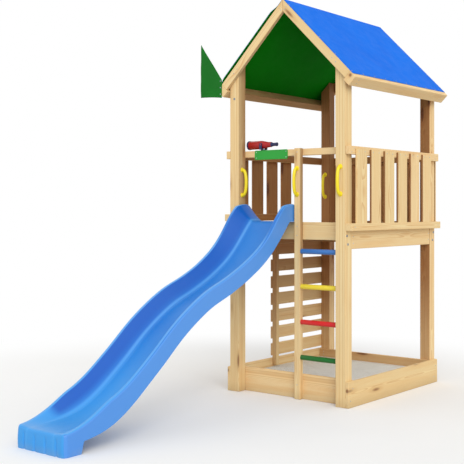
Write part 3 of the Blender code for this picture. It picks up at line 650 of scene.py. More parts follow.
def slideMaterial():
    # As the other plastic, with fine scratches down the run and a duller floor where clothes rub
    paint = Paint("slide_blue")
    place = paint.place(middle)
    x, y, z = paint.split(place)
    slow = paint.noise(place, 2.2, 3.0)
    peel = paint.noise(place, 160.0, 2.0, 0.5)
    scratch = paint.noise(paint.join(x * 420.0, y * 5.0, z * 5.0), 1.0, 3.0, 0.6)
    blotch = paint.noise(place, 9.0, 4.0, 0.6)
    away = x - slideLook["centre"]
    offCentre = away.maths("ABSOLUTE")
    rubbed = paint.fade(offCentre, 0.17, 0.05) * paint.fade(blotch, 0.30, 0.62)
    colour = paint.mix(paint.fade(slow, 0.3, 0.7) * 0.35, slideLook["colour"], slideLook["deep"])
    colour = paint.mix(rubbed * paint.fade(scratch, 0.5, 0.8) * 0.22, colour, slideLook["rubbed"])
    # Painted shade and light: the inner walls are darkened and the outer walls lightened, and a painted
    # highlight runs along the rim tops and the floor's edges
    way = paint.split(paint.add("ShaderNodeTexCoord", out=1))
    onTop = paint.fade(way[2], 0.60, 0.78)
    wall = paint.fade(offCentre, 0.12, 0.17) * paint.fade(way[1], -0.9, -0.5) * (1.0 - onTop)
    edge = paint.fade((offCentre - slideLook["floorEdge"]).maths("ABSOLUTE"), 0.014, 0.002)
    light = (edge * 0.5 + onTop * paint.fade(offCentre, 0.18, 0.21) * 0.6).maths("MINIMUM", 0.7)
    outward = paint.fade(way[0] * away.maths("SIGN"), 0.5, 0.9)
    colour = paint.mix(wall * (1.0 - outward) * 0.85, colour, slideLook["inner"])
    colour = paint.mix(outward * 0.75, colour, slideLook["outer"])
    colour = paint.mix(light, colour, slideLook["light"])
    # Painted light: the floor grows lighter low down towards the end
    colour = paint.mix(paint.fade(z, 0.75, 0.10) * (1.0 - wall) * 0.8, colour, slideLook["low"])
    dust = paint.fade(z, 0.06, 0.0) * paint.fade(blotch, 0.35, 0.65) * 0.25
    colour = paint.mix(dust, colour, slideLook["dust"])
    roughness = 0.33 + rubbed * 0.10 + paint.fade(scratch, 0.45, 0.8) * 0.06
    height = peel * 0.6 + scratch * rubbed * 0.5
    return paint.finish(colour, roughness, paint.bump(height, 0.00030, 0.5), coat=0.12, coatRoughness=0.22)


def clothMaterial(name, colour, shadeColour, weave=0.0026, roughness=0.62, specular=0.25):
    # Woven tape under a coating, on the cloth's own map in metres
    paint = Paint(name)
    across, along, unused = paint.split(paint.add("ShaderNodeUVMap", {"uv_map": "cloth"}))
    warp = (across * (2 * math.pi / weave)).maths("SINE")
    weft = (along * (2 * math.pi / weave)).maths("SINE")
    tape = (warp * weft) * 0.5 + 0.5
    flat = paint.join(across, along, 0.0)
    slow = paint.noise(flat, 2.4, 3.0, 0.55)
    crease = paint.noise(flat, 11.0, 4.0, 0.6, 0.6)
    colour = paint.mix(paint.fade(slow, 0.35, 0.72) * 0.5, colour, shadeColour)
    colour = paint.mix(tape * 0.06, colour, shadeColour)
    rough = paint.fade(crease, 0.3, 0.7, roughness - 0.05, roughness + 0.07)
    height = tape * 0.25 + crease * 3.0
    return paint.finish(colour, rough, paint.bump(height, 0.0007, 0.6), specular=specular)


def metalMaterial(name, colour, roughness=0.36):
    paint = Paint(name)
    place = paint.place()
    grain = paint.noise(place, 900.0, 3.0, 0.6)
    patch = paint.noise(place, 60.0, 3.0)
    shade = paint.mix(paint.fade(patch, 0.35, 0.7) * 0.5, colour, [0.72 * v for v in colour])
    rough = paint.fade(grain, 0.3, 0.7, roughness - 0.06, roughness + 0.10)
    return paint.finish(shade, rough, paint.bump(grain, 0.00008, 0.6), metallic=0.9)


def sandMaterial():
    paint = Paint("sand_grains")
    place = paint.place()
    grains = paint.add("ShaderNodeTexVoronoi", None, {"Vector": place, "Scale": 620.0}, out=1)
    chance = paint.split(grains)[0]
    patch = paint.noise(place, 7.0, 4.0)
    shade = paint.ramp(chance, (0.0, (192, 188, 178)), (0.35, (228, 228, 220)),
                       (0.8, (238, 239, 233)), (1.0, (248, 248, 244)))
    shade = paint.mix(paint.fade(patch, 0.35, 0.7) * 0.3, shade, (216, 216, 208))
    lump = paint.noise(place, 240.0, 3.0, 0.7)
    return paint.finish(shade, 0.92, paint.bump(lump + chance * 0.5, 0.0016, 0.9), specular=0.2)


def floorMaterial():
    # White to the camera where the light is full, with the object's shadow on it
    paint = Paint("studio_floor")
    cloud = paint.noise(paint.place(), 0.7, 2.0)
    colour = paint.mix(paint.fade(cloud, 0.3, 0.7) * 0.1, lightLook["floor"], (232, 232, 230))
    seen = paint.add("ShaderNodeLightPath")
    colour = paint.mix(seen, lightLook["floorInShade"], colour)
    ground = paint.add("ShaderNodeBsdfDiffuse", None, {"Color": colour})
    away = paint.add("ShaderNodeVectorMath", {"operation": "LENGTH"}, {0: paint.place()}, out=1)
    white = paint.add("ShaderNodeEmission", None, {"Color": (1, 1, 1, 1), "Strength": 1.0})
    blend = paint.add("ShaderNodeMixShader", None,
                      {0: seen * paint.fade(away, lightLook["shadowReach"], lightLook["whiteFrom"]),
                       1: ground, 2: white})
    return paint.output(blend)


slideLook = {
    "centre": -0.21725,        # from the middle of the tower
    "colour": (22, 125, 211),
    "deep": (20, 106, 200),
    "rubbed": (88, 164, 232),
    # painted shade on the inner walls, then painted light on the outer walls
    "inner": (4, 90, 188),
    "outer": (92, 158, 238),
    "low": (60, 160, 232),     # painted light, lighter low down towards the slide's end
    "light": (104, 178, 244),  # painted highlight on the rims and where the floor turns up
    "dust": (150, 165, 185),
    "floorEdge": 0.132,        # from the slide's middle line
    "arcSteps": 7,
}

# The chute's own sizes, as the solid has them
chute = {
    "width": 0.475, "topFlare": 0.0555, "flareRun": 0.700, "run": 2.380, "endHeight": 0.138, "wall": 0.005,
    "wallHeight": 0.125, "endWallHeight": 0.010, "taperRun": 0.480, "lean": 0.077, "rim": 0.028,
    "floorRadius": 0.055, "rimInner": 0.010, "rimOuter": 0.013, "lipHeight": 1.4628, "lipBack": -0.1403,
    "skirt": 0.006, "skirtStart": 0.100, "endSkirt": 0.062, "skirtRun": 0.800,
    "wave": ((0.000, 0.000), (0.110, 0.204), (0.208, 0.323), (0.306, 0.407), (0.412, 0.481),
             (0.527, 0.606), (0.633, 0.759), (0.751, 0.910), (0.857, 0.985), (1.000, 1.000)),
    "footLength": 0.148, "footFillet": 0.026, "cornerRadius": 0.026, "noseRadius": 0.013, "bulge": 0.008,
    "earRise": 0.020, "earCentre": -0.060, "earReach": 0.260, "earEnd": 0.024, "lipTurn": 0.020,
    "grooves": 4, "grooveDepth": 0.010, "grooveWidth": 0.030,
}


def smoothStep(value):
    value = max(0.0, min(1.0, value))
    return value * value * (3 - 2 * value)


def wavePoint(share):
    drop = chute["lipHeight"] - chute["endHeight"]
    points = [Vector((run * chute["run"], chute["lipHeight"] - fall * drop)) for run, fall in chute["wave"]]
    points.insert(0, Vector((-0.06, chute["lipHeight"] + 0.001)))
    points.append(points[-1] + Vector((0.15, -0.004)))
    place = share * (len(chute["wave"]) - 1)
    index = min(int(place), len(chute["wave"]) - 2)
    t = place - index
    a, b, c, d = points[index:index + 4]
    bend, twist = 2 * a - 5 * b + 4 * c - d, 3 * b - a - 3 * c + d
    return 0.5 * (2 * b + (c - a) * t + bend * t * t + twist * t ** 3)


def floorHeights():
    # Height of the floor every 5 mm of its run, without the small kinks between the wave's points
    step = 0.005
    curve = [wavePoint(i / 1200) for i in range(1201)]
    heights = []
    k = 0
    for i in range(int(chute["run"] / step) + 1):
        while k < 1199 and curve[k + 1].x < i * step:
            k += 1
        a, b = curve[k], curve[k + 1]
        heights.append(a.y + (b.y - a.y) * (i * step - a.x) / (b.x - a.x))
    for turn in range(3):
        before, heights = heights, []
        for i, height in enumerate(before):
            reach = min(7, i, len(before) - 1 - i)
            near = before[i - reach:i + reach + 1]
            heights.append(sum(near) / len(near) if reach > 1 else height)
    return step, heights


floorStep, floorTable = floorHeights()


def floorAt(run):
    if run <= 0:
        return chute["lipHeight"]
    place = min(run / floorStep, len(floorTable) - 1.001)
    index = int(place)
    return floorTable[index] + (floorTable[index + 1] - floorTable[index]) * (place - index)


def chuteSection(height, width):
    # From the middle of the floor over the rim to the top of the outer wall
    half = width / 2 - chute["wall"] / 2
    rimInner = half - chute["rim"]
    floorHalf = (chute["width"] - chute["wall"]) / 2 - chute["rim"] - chute["lean"]
    corners = ((0, 0, 0), (floorHalf, 0, chute["floorRadius"]), (rimInner, height, chute["rimInner"]),
               (half, height, chute["rimOuter"]), (half, height - 0.2, 0))
    steps = slideLook["arcSteps"]
    path = filletPath(corners, steps)[:-1]
    fine = [path[0]]
    for i, (a, b) in enumerate(zip(path, path[1:])):
        pieces = {0: 24, steps + 1: 14, 2 * steps + 2: 3}.get(i, 1)
        fine += [a.lerp(b, (j + 1) / pieces) for j in range(pieces)]
    return [Vector((-p.x, p.y)) for p in reversed(fine[1:])] + fine


def groove(across):
    inside = chute["width"] - 2 * chute["cornerRadius"]
    spacing = inside / chute["grooves"]
    fromEdge = (across + inside / 2) % spacing - spacing / 2
    if abs(across) > inside / 2 or abs(fromEdge) > chute["grooveWidth"] / 2:
        return 0.0
    return chute["grooveDepth"] * math.cos(math.pi * fromEdge / chute["grooveWidth"]) ** 2


def cornerPlace(across, half):
    # The slide's end is rounded in plan as far as the middle of each corner
    corner = chute["cornerRadius"]
    inside = abs(across) - (half - corner)
    if inside <= 0:
        return across, 0.0
    turn = min(1.0, inside / corner) * math.pi / 4
    return math.copysign(half - corner + corner * math.sin(turn), across), corner * (1 - math.cos(turn))


def noseBack(drop):
    nose = chute["noseRadius"]
    return nose - math.sqrt(nose ** 2 - (nose - drop) ** 2) if drop < nose else 0.0


def bulge(share):
    return chute["bulge"] * math.sin(math.pi * (0.2 + 0.8 * share))


def chuteStations():
    # Close together round the lip, at the back of the foot and at the end
    run = chute["run"]
    stations = [chute["lipBack"] * math.cos(math.pi / 2 * i / 14) for i in range(14)]
    stations += [i * 0.014 for i in range(int((run - 0.20) / 0.014) + 1)]
    stations += [run - 0.196 + 0.004 * i for i in range(round((0.216 - chute["footLength"]) / 0.004))]
    stations += [run - 0.118 + i * 0.010 for i in range(9)]
    return stations + [run - chute["cornerRadius"], run - 0.0205, run - 0.0165]


def wallSizes(x):
    # Height of the walls over the floor and the width over both
    ease = smoothStep((chute["run"] - x) / chute["taperRun"])
    height = chute["endWallHeight"] + (chute["wallHeight"] - chute["endWallHeight"]) * ease
    height += chute["earRise"] * smoothStep(1 - abs(x - chute["earCentre"]) / chute["earReach"])
    if x < chute["lipTurn"]:
        share = (chute["lipTurn"] - x) / (chute["lipTurn"] - chute["lipBack"])
        height = chute["earEnd"] + (height - chute["earEnd"]) * math.sqrt(max(0.0, 1 - share ** 5))
    return height, chute["width"] + chute["topFlare"] * smoothStep(1 - x / chute["flareRun"])


def chuteShell():
    # One sheet from the lip over the end and down to the ground, made thick at the end
    run, corner, nose = chute["run"], chute["cornerRadius"], chute["noseRadius"]
    levels = (0.02, 0.045, 0.07, 0.10, 0.16, 0.27, 0.42, 0.6, 0.8, 1.0)
    footBack = run - chute["footLength"]
    border = nose * (1 - math.sin(math.pi / 4))
    bm = bmesh.new()

    def put(across, along, height):
        return bm.verts.new(middle + Vector((slideLook["centre"] + across, -halfDepth - along, height)))

    rows = []
    for x in chuteStations() + [run - border]:
        last = x == run - border
        # The walls turn over the lip more slowly than the floor does
        reach = 0.01 + 0.06 * smoothStep(1 - abs(x - chute["lipTurn"]) / 0.16)
        slope = (floorAt(x + reach) - floorAt(x - reach)) / (2 * reach)
        ahead = Vector((1, slope)).normalized()
        up = Vector((-ahead.y, ahead.x))
        point = Vector((x, floorAt(x) - (nose * (1 - math.cos(math.pi / 4)) if last else 0.0)))
        height, width = wallSizes(x)
        away = run - x
        if away < corner and not last:
            width -= 2 * (corner - math.sqrt(corner ** 2 - (corner - away) ** 2))
        skirt = chute["skirt"] * smoothStep(x / chute["skirtStart"])
        skirt += chute["endSkirt"] * (1 - smoothStep(away / chute["skirtRun"]))
        foot = smoothStep((x - footBack + chute["footFillet"] / 2) / chute["footFillet"])
        section = chuteSection(height, width)
        half = section[-1].x
        top = []
        for p in section:
            across, back = p.x, 0.0
            if last:
                across, back = cornerPlace(p.x, half)
            top.append((across, point.x + up.x * p.y - back, point.y + up.y * p.y))
        sides = []
        for end in (0, -1):
            across, along, high = top[end]
            low = (point - up * skirt).lerp(Vector((along, 0.0)), foot)
            side = []
            for share in levels:
                spot = Vector((along, high)).lerp(low, share)
                if last:
                    spot.x = along + border - noseBack(high - spot.y + border) + bulge(spot.y / high)
                side.append(put(across, spot.x, spot.y))
            sides.append(side)
        line = [put(*spot) for spot in top]
        rows.append(list(reversed(sides[0])) + line + sides[1])
        if last:
            # The end wall hangs from the last row, between the two sides
            face = [line]
            for k, share in enumerate(levels):
                row = [sides[0][k]]
                for across, along, high in top[1:-1]:
                    z = high * (1 - share)
                    deep = noseBack(high - z + border) + groove(across) * smoothStep((high - 0.02 - z) / 0.03)
                    row.append(put(across, along + border - deep + bulge(z / high), z))
                face.append(row + [sides[1][k]])
            bridge(bm, face)
    bridge(bm, rows)
    bmesh.ops.recalc_face_normals(bm, faces=bm.faces)
    mesh = bpy.data.meshes.new("chute")
    bm.to_mesh(mesh)
    bm.free()
    item = linkItem("chute", mesh)
    modifier = item.modifiers.new("thickness", "SOLIDIFY")
    modifier.thickness = chute["wall"]
    modifier.offset = 0.0
    modifier.use_even_offset = True
    return bakedMesh(item)


def buildSlide():
    bm = bmesh.new()
    bm.from_mesh(chuteShell())
    standFor(addPiece("slide_chute", bm, [slideMaterial()], angle=50.0), "slide")


buildSlide()
print("slide made")


roofLook = {
    "pitch": 45.0,
    "apex": 3.295,
    "outside": (2, 112, 228),
    "outsideShade": (1, 100, 218),
    "inside": (1, 122, 5),
    "insideShade": (1, 108, 3),
    "specular": 0.08,
    "sag": 0.012,
    "fold": 0.0035,
    "leftLift": 0.022,       # the left front edge stands a little over its rafter
    "hem": 0.030,
    "ontoEave": 0.030,
    "edgeInset": 0.002,
    "eaveBeam": 0.070,       # down the slope, from its upper edge to the rafters' ends
    "stepsDown": 64,
    "stepsBack": 72,
}


def eaveStart():
    return (halfWidth + fitGap) / math.cos(math.radians(roofLook["pitch"])) + 0.090


def roofPoint(side, along, depth, y):
    sine, cosine = math.sin(math.radians(roofLook["pitch"])), math.cos(math.radians(roofLook["pitch"]))
    return middle + Vector((side * (along * cosine - depth * sine), y,
                            roofLook["apex"] - along * sine - depth * cosine))


def clothPoint(side, along, y):
    lift = fitGap + 0.0022
    share = max(0.0, min(1.0, (along - 0.045) / (eaveStart() - 0.045)))
    between = max(0.0, 1 - (y / halfDepth) ** 2)
    sag = roofLook["sag"] * between * math.sin(math.pi * share)
    ripple = math.sin(11.0 * y + 4.0 * share + side) + 0.6 * math.sin(23.0 * y - 7.0 * share + 2 * side)
    sag += roofLook["fold"] * between * ripple * math.sin(math.pi * min(1.0, share * 1.1)) * 0.5
    if side < 0:
        edge = math.exp(-((y + halfDepth + 0.035) / 0.16) ** 2)
        edge *= smoothStep((share - 0.02) / 0.12) * smoothStep((1.0 - share) / 0.10 + 0.35)
        sag -= roofLook["leftLift"] * edge
    if along == 0:
        return middle + Vector((0, y, roofLook["apex"] + lift * 1.4))
    return roofPoint(side, along, sag - lift, y)


def buildRoofCloth():
    front = middle.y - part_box("rafter_front_left")[0].y - roofLook["edgeInset"]
    length = eaveStart() + roofLook["ontoEave"]
    slope = [length * (i / roofLook["stepsDown"]) for i in range(roofLook["stepsDown"] + 1)]
    over = [(-1, d) for d in reversed(slope[1:])] + [(1, d) for d in slope]
    along = [-front + 2 * front * j / roofLook["stepsBack"] for j in range(roofLook["stepsBack"] + 1)]
    rows = [[(clothPoint(side, d, y), side * d, y) for y in along] for side, d in over]
    shine = roofLook["specular"]
    outside = clothMaterial("roof_blue", roofLook["outside"], roofLook["outsideShade"], specular=shine)
    inside = clothMaterial("roof_green", roofLook["inside"], roofLook["insideShade"], roughness=0.8,
                           specular=shine)
    piece, modifier, area = mappedSheet("roof_cloth", rows, [outside, inside])
    modifier.material_offset = 1
    modifier.material_offset_rim = 0
    standFor(piece, "roof_sheet")
    # The seam round the hem
    inset = roofLook["hem"]
    lift = Vector((0, 0, clothThickness * 0.7))
    lines = [[clothPoint(side, d, y) + lift for side, d in over] for y in (-front + inset, front - inset)]
    lines += [[clothPoint(side, length - inset, y) + lift for y in along] for side in (-1, 1)]
    thread = plasticMaterial("thread_blue", (40, 110, 225), 0.6)
    seam = grow(stitchTree(), lineSource("hem_lines", lines), "roof_stitches", thread)
    return front, length


clothFront, clothLength = buildRoofCloth()
print("roof cloth made")


pennantLook = {
    "height": 0.467,
    "left": 0.180,
    "right": 0.052,
    "peakRise": 0.416,
    "innerRise": 0.088,
    "slant": 0.016,
    "wave": 0.012,
    "hem": 0.012,
    "steps": 44,
    "colour": (6, 112, 22),
    "shade": (4, 88, 16),
}


def pennantPoint(across, down):
    edge = roofPoint(-1, eaveStart() + roofLook["eaveBeam"], 0, 0) - middle
    left, right = edge.x - pennantLook["left"], edge.x + pennantLook["right"]
    peak = edge.z + pennantLook["peakRise"]
    x = left + (right - left) * across
    high = peak + (edge.z + pennantLook["innerRise"] - peak) * across
    low = peak - pennantLook["height"] - pennantLook["slant"] * across * across
    free = max(0.0, (edge.x - x) / pennantLook["left"])
    ripple = (1 + math.sin(5.0 * across + 2.2 * down) + 0.25 * math.sin(17.0 * down + 6.0 * across)) / 2.4
    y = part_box("rafter_front_left")[0].y - middle.y - fitGap - 0.0015 - pennantLook["wave"] * free * ripple
    return middle + Vector((x, y, high + (low - high) * down))


def buildPennant():
    steps = pennantLook["steps"]
    width = pennantLook["left"] + pennantLook["right"]
    rows = []
    for j in range(steps + 1):
        places = [pennantPoint(i / steps, j / steps) for i in range(steps + 1)]
        rows.append([(place, place.x - middle.x, place.z) for place in places])
    cloth = clothMaterial("pennant_green", pennantLook["colour"], pennantLook["shade"], weave=0.0018)
    piece, modifier, area = mappedSheet("pennant_cloth", rows, [cloth])
    standFor(piece, "pennant")
    # The seam runs down the free edge and along the bottom
    hem = pennantLook["hem"] / width
    line = [pennantPoint(hem, 0.08 + 0.89 * j / steps) for j in range(steps + 1)]
    line += [pennantPoint(hem + (0.95 - hem) * i / steps, 0.97) for i in range(1, steps + 1)]
    source = lineSource("pennant_line", [[p + Vector((0, -0.0010, 0)) for p in line]])
    seam = grow(stitchTree(), source, "pennant_stitches", plasticMaterial("thread_green", (30, 120, 40), 0.6),
                {"Pitch": 0.0060, "Thread Length": 0.0022})


buildPennant()
print("pennant made")


sandLook = {"level": 0.130, "ripple": 0.005, "lump": 0.004, "steps": 110}


def buildSand():
    low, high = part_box("sand_bed")
    steps = sandLook["steps"]
    bm = bmesh.new()
    rows = []
    for i in range(steps + 1):
        row = []
        for j in range(steps + 1):
            a, b = i / steps, j / steps
            fade = math.sin(math.pi * a) * math.sin(math.pi * b)
            edge = min(1.0, 8 * fade)
            z = sandLook["level"] + sandLook["ripple"] * fade * (math.sin(9.0 * a + 2.0 * b)
                                                                 + math.cos(7.0 * b - 3.0 * a))
            z += sandLook["lump"] * edge * 0.5 * (math.sin(41.0 * a + 13.0 * math.sin(9.0 * b))
                                                  + math.sin(53.0 * b + 11.0 * math.sin(7.0 * a)) - 0.6)
            row.append(bm.verts.new((low.x + (high.x - low.x) * a, low.y + (high.y - low.y) * b, z)))
        rows.append(row)
    bridge(bm, rows)
    rim = ([rows[i][0] for i in range(steps)] + [rows[steps][j] for j in range(steps)]
           + [rows[i][steps] for i in range(steps, 0, -1)] + [rows[0][j] for j in range(steps, 0, -1)])
    base = [bm.verts.new((v.co.x, v.co.y, low.z)) for v in rim]
    bridge(bm, [rim, base], closed=True)
    bm.faces.new(base)
    standFor(addPiece("play_sand", bm, [sandMaterial()], angle=50.0), "sand_bed")


buildSand()
print("sand made")


rungLook = {
    "edge": 0.003,
    "sides": 64,
    "blue": (62, 122, 196),
    "yellow": (252, 226, 60),
    "red": (226, 36, 34),
    "green": (20, 110, 30),
}


def buildRungs():
    for colour in ("blue", "yellow", "red", "green"):
        low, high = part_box("rung_" + colour)
        radius = (high.z - low.z) / 2
        length = high.x - low.x
        edge = rungLook["edge"]
        profile = [(0, 0), (0, radius - edge)]
        profile += [(edge * (1 - math.cos(t)), radius - edge * (1 - math.sin(t)))
                    for t in (0.4, 0.8, 1.2, math.pi / 2)]
        profile += [(length - a, r) for a, r in reversed(profile)]
        bm = bmesh.new()
        start = (low.x, (low.y + high.y) / 2, (low.z + high.z) / 2)
        turnedShape(bm, profile, (1, 0, 0), start, rungLook["sides"])
        paint = plasticMaterial("rung_paint_" + colour, rungLook[colour], 0.36, 0.0003, 0.10)
        standFor(addPiece("ladder_rung_" + colour, bm, [paint]), "rung_" + colour)


buildRungs()
print("rungs made")


gripLook = {
    "length": 0.216,
    "reach": 0.058,
    "diameter": 0.027,
    "foot": 0.042,
    "footReach": 0.015,      # the flare of the foot ends here
    "bow": 2.1,              # 2 bows the bar like a circle, more makes its middle straighter
    "steps": 64,
    "colour": (250, 226, 24),
}


def gripLine():
    # The bar from foot to foot, as (out from the post, up, thickness)
    half, radius, foot = gripLook["length"] / 2, gripLook["diameter"] / 2, gripLook["foot"] / 2
    flare = [(0.0, foot - 0.0006), (0.0010, foot), (0.0034, foot - 0.0008), (0.0052, foot - 0.004),
             (0.0080, radius + 0.0035), (0.0120, radius + 0.0010)]
    line = [(out, -half, size) for out, size in flare]
    for i in range(gripLook["steps"] + 1):
        share = -1 + 2 * i / gripLook["steps"]
        out = (gripLook["reach"] - radius) * (1 - abs(share) ** gripLook["bow"]) ** 0.8
        if out > gripLook["footReach"]:
            line.append((out, half * math.sin(share * math.pi / 2), radius))
    return line + [(out, half, size) for out, size in reversed(flare)]


def buildGrips():
    material = plasticMaterial("grip_yellow", gripLook["colour"], 0.38, 0.0003, 0.05)
    tree = gripTree()
    line = gripLine()
    for name, outward in (("slide", (1, 0, 0)), ("middle", (0, -1, 0)), ("ladder", (0, -1, 0)),
                          ("climbing", (0, -1, 0))):
        node = "hand_grip_" + name
        low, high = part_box(node)
        outward = Vector(outward)
        face = (low + high) / 2 - outward * (high - low).dot(Vector(map(abs, outward))) / 2
        points = [face + outward * out + Vector((0, 0, rise)) for out, rise, size in line]
        source = lineSource(node + "_line", [points])
        thick = source.data.attributes.new("thick", "FLOAT", "POINT")
        thick.data.foreach_set("value", [size for out, rise, size in line])
        standFor(grow(tree, source, "grip_" + name, material), node)


buildGrips()
print("grips made")


scope = {
    "bodyRadius": 0.036, "bodyLength": 0.226, "taper": 0.110, "neck": 0.022, "ringRadius": 0.039,
    "ringBore": 0.031, "ringLength": 0.014, "recess": 0.010, "eyeLength": 0.062, "eyeRadius": 0.019,
    "eyeEnd": 0.014, "half": 0.153, "pinRadius": 0.006, "pinReach": 0.044,
    "red": (172, 10, 12), "navy": (22, 30, 78),
}


def buildTelescope():
    low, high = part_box("telescope_yoke")
    ringLow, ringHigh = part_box("telescope_ring")
    pivot = Vector(((low.x + high.x) / 2, (low.y + high.y) / 2, (ringLow.z + ringHigh.z) / 2))
    red = plasticMaterial("telescope_red", scope["red"], 0.32)
    navy = plasticMaterial("telescope_navy", scope["navy"], 0.34)
    along = (1, 0, 0)
    front = -scope["half"]
    start = front + scope["ringLength"] + fitGap
    end = start + scope["bodyLength"]
    radius, bore, neck, taper = scope["bodyRadius"], scope["ringBore"], scope["neck"], scope["taper"]

    bm = bmesh.new()
    bottom = start + scope["recess"]
    profile = [(bottom, 0), (bottom, bore), (start, bore), (start, radius - 0.0012),
               (start + 0.0004, radius - 0.0004), (start + 0.0012, radius), (end - taper, radius)]
    for i in range(1, 13):
        share = i / 12
        profile.append((end - taper + share * (taper - 0.012), radius - (radius - neck) * smoothStep(share)))
    profile += [(end - 0.0015, neck), (end, neck - 0.0015), (end, 0)]
    turnedShape(bm, profile, along, pivot, 72)
    # Two raised bands of the moulding and the pins it tips on
    for place in (start + 0.018, end - taper - 0.004):
        band = [(-0.004, -0.001), (-0.003, 0.0006), (0.003, 0.0006), (0.004, -0.001)]
        turnedShape(bm, [(place + shift, radius + rise) for shift, rise in band], along, pivot, 72)
    pin, size = scope["pinReach"], scope["pinRadius"]
    pins = [(-pin, 0), (-pin, size - 0.001), (-pin + 0.001, size), (pin - 0.001, size),
            (pin, size - 0.001), (pin, 0)]
    turnedShape(bm, pins, (0, 1, 0), pivot, 32)
    standFor(addPiece("scope_barrel", bm, [red], "telescope_tube", 30.0), "telescope_barrel")

    bm = bmesh.new()
    outer, inner = scope["ringRadius"], front + scope["ringLength"]
    ring = [(front + 0.0008, bore), (front, bore + 0.0012), (front, outer - 0.0022),
            (front + 0.0008, outer - 0.0008), (front + 0.0022, outer), (inner - 0.001, outer),
            (inner, outer - 0.001), (inner, bore)]
    turnedShape(bm, ring, along, pivot, 72)
    standFor(addPiece("scope_ring", bm, [navy], "telescope_tube", 30.0), "telescope_ring")

    bm = bmesh.new()
    eye, long, size, tip = end + fitGap, scope["eyeLength"], scope["eyeRadius"], scope["eyeEnd"]
    profile = [(0, 0), (0, size - 0.001), (0.001, size)]
    profile += [(0.001 + 0.4 * long * i / 8, size - (size - tip) * smoothStep(i / 8)) for i in range(1, 9)]
    profile += [(0.75 * long, tip), (0.79 * long, tip + 0.0016), (0.81 * long, tip + 0.002),
                (long - 0.001, tip + 0.002), (long, tip + 0.001), (long, tip - 0.002),
                (0.96 * long, tip - 0.004), (0.90 * long, tip - 0.0055), (0.90 * long, 0)]
    turnedShape(bm, [(eye + away, wide) for away, wide in profile], along, pivot, 56)
    standFor(addPiece("scope_eyepiece", bm, [navy], "telescope_tube", 30.0), "telescope_eyepiece")

    # A domed lens in the recess
    bm = bmesh.new()
    seat = bottom - 0.0002
    size, dome = bore - 0.0008, 0.0045
    curve = [(seat - dome * math.sin(t), size * math.cos(t)) for t in (0.0, 0.15, 0.4, 0.7, 1.0, 1.3)]
    turnedShape(bm, [(seat, 0)] + curve + [(seat - dome, 0)], along, pivot, 56)
    paint = Paint("lens_dark")
    haze = paint.noise(paint.place(), 40.0, 3.0)
    tint = paint.mix(haze, (16, 22, 34), (30, 42, 60))
    glass = paint.finish(tint, paint.fade(haze, 0.3, 0.7, 0.05, 0.14), paint.bump(haze, 0.0001, 0.3),
                         coat=0.8, coatRoughness=0.04)
    addPiece("scope_lens", bm, [glass], "telescope_tube", 60.0)

    low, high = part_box("telescope_base")
    bm = bmesh.new()
    radius, height = (high.x - low.x) / 2, high.z - low.z
    disc = [(0, 0), (0, radius - 0.0008), (0.0008, radius), (height - 0.002, radius),
            (height - 0.0006, radius - 0.0006), (height, radius - 0.002), (height, 0)]
    turnedShape(bm, disc, (0, 0, 1), ((low.x + high.x) / 2, (low.y + high.y) / 2, low.z), 56)
    standFor(addPiece("scope_base", bm, [navy]), "telescope_base")
    setMaterial("telescope_yoke", navy)


buildTelescope()
print("telescope made")


plateLook = {"colour": (24, 158, 44), "rim": 0.0016, "rimWidth": 0.006, "cornerRadius": 0.012}


def buildPlate():
    # Moulded plate with a raised rim; its face is bare
    low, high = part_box("front_plate")
    bm = bmesh.new()

    def outline(inset, y):
        a, b, c, d = low.x + inset, high.x - inset, low.z + inset, high.z - inset
        turn = max(0.002, plateLook["cornerRadius"] - inset)
        seam = ((a + b) / 2, c, 0)
        corners = (seam, (b, c, turn), (b, d, turn), (a, d, turn), (a, c, turn), seam)
        return [bm.verts.new((p.x, y, p.y)) for p in filletPath(corners, 8)[:-1]]

    rim, wide = plateLook["rim"], plateLook["rimWidth"]
    rows = [outline(0, high.y), outline(0, low.y + 0.0008), outline(0.0003, low.y + 0.0003),
            outline(0.0008, low.y), outline(wide - 0.0008, low.y), outline(wide, low.y + 0.0006),
            outline(wide + 0.0004, low.y + rim)]
    bridge(bm, rows, closed=True)
    bm.faces.new(rows[0])
    bm.faces.new(rows[-1])
    paint = plasticMaterial("plate_green", plateLook["colour"], 0.36, 0.0003)
    standFor(addPiece("plate_bare", bm, [paint], angle=30.0), "front_plate")


buildPlate()
print("plate made")


fixings = {
    "screwColour": (196, 198, 200),
    "capColour": (150, 158, 170),
    "tackRadius": 0.0065,
    "tackPitch": 0.16,
    "railInset": 0.018,      # of a screw from a rail's edge
    "frontRailInset": 0.016,
    "pairShift": 0.034,      # between two screws side by side
    "slatShift": 0.045,      # of a slat's screws from its middle
    "boardShift": 0.026,     # the same for a climbing board
    "deckShift": 0.042,
    "slatDrop": 0.020,
    "sideBoards": (0.055, 0.150),    # heights of the screws in the sandbox
    "endBoards": (0.155, 0.180),
    "middlePost": (1.350, 1.425, 2.038, 0.120),
    "beamBolts": (0.037, 0.023),     # lower and upper, from the outer face of the post
    "beamBoltInset": 0.038,
    "beamScrewInset": (0.022, 0.045),
    "rafter": ((0.075, 0.025), (0.075, 0.050), (0.715, 0.036), (0.765, 0.036)),   # down the slope, under it
    "eave": (0.028, 0.062),
    "plateInset": 0.016,
    "lipShift": 0.11,        # of the two bolts in the slide's lip from its middle
    "lipInset": 0.022,       # behind the posts
    "capHeight": 2.515,      # of the one cap on the front left post
}

left, right, up = Vector((-1, 0, 0)), Vector((1, 0, 0)), Vector((0, 0, 1))
front, back = Vector((0, -1, 0)), Vector((0, 1, 0))
postX = {side: middle.x + side * (halfWidth - postSize / 2) for side in (-1, 1)}
postY = {end: middle.y + end * (halfDepth - postSize / 2) for end in (-1, 1)}


def fix(points, x, y, z, way):
    points.append((Vector((x, y, z)), way))


def both(value):
    return -value, value


def within(low, high, inset):
    return low + inset, high - inset


def crossedPair(low, high, inset):
    # Two heights on a rail, each with its shift along the rail
    return [(z, (k - 0.5) * fixings["pairShift"]) for k, z in enumerate(within(low, high, inset))]


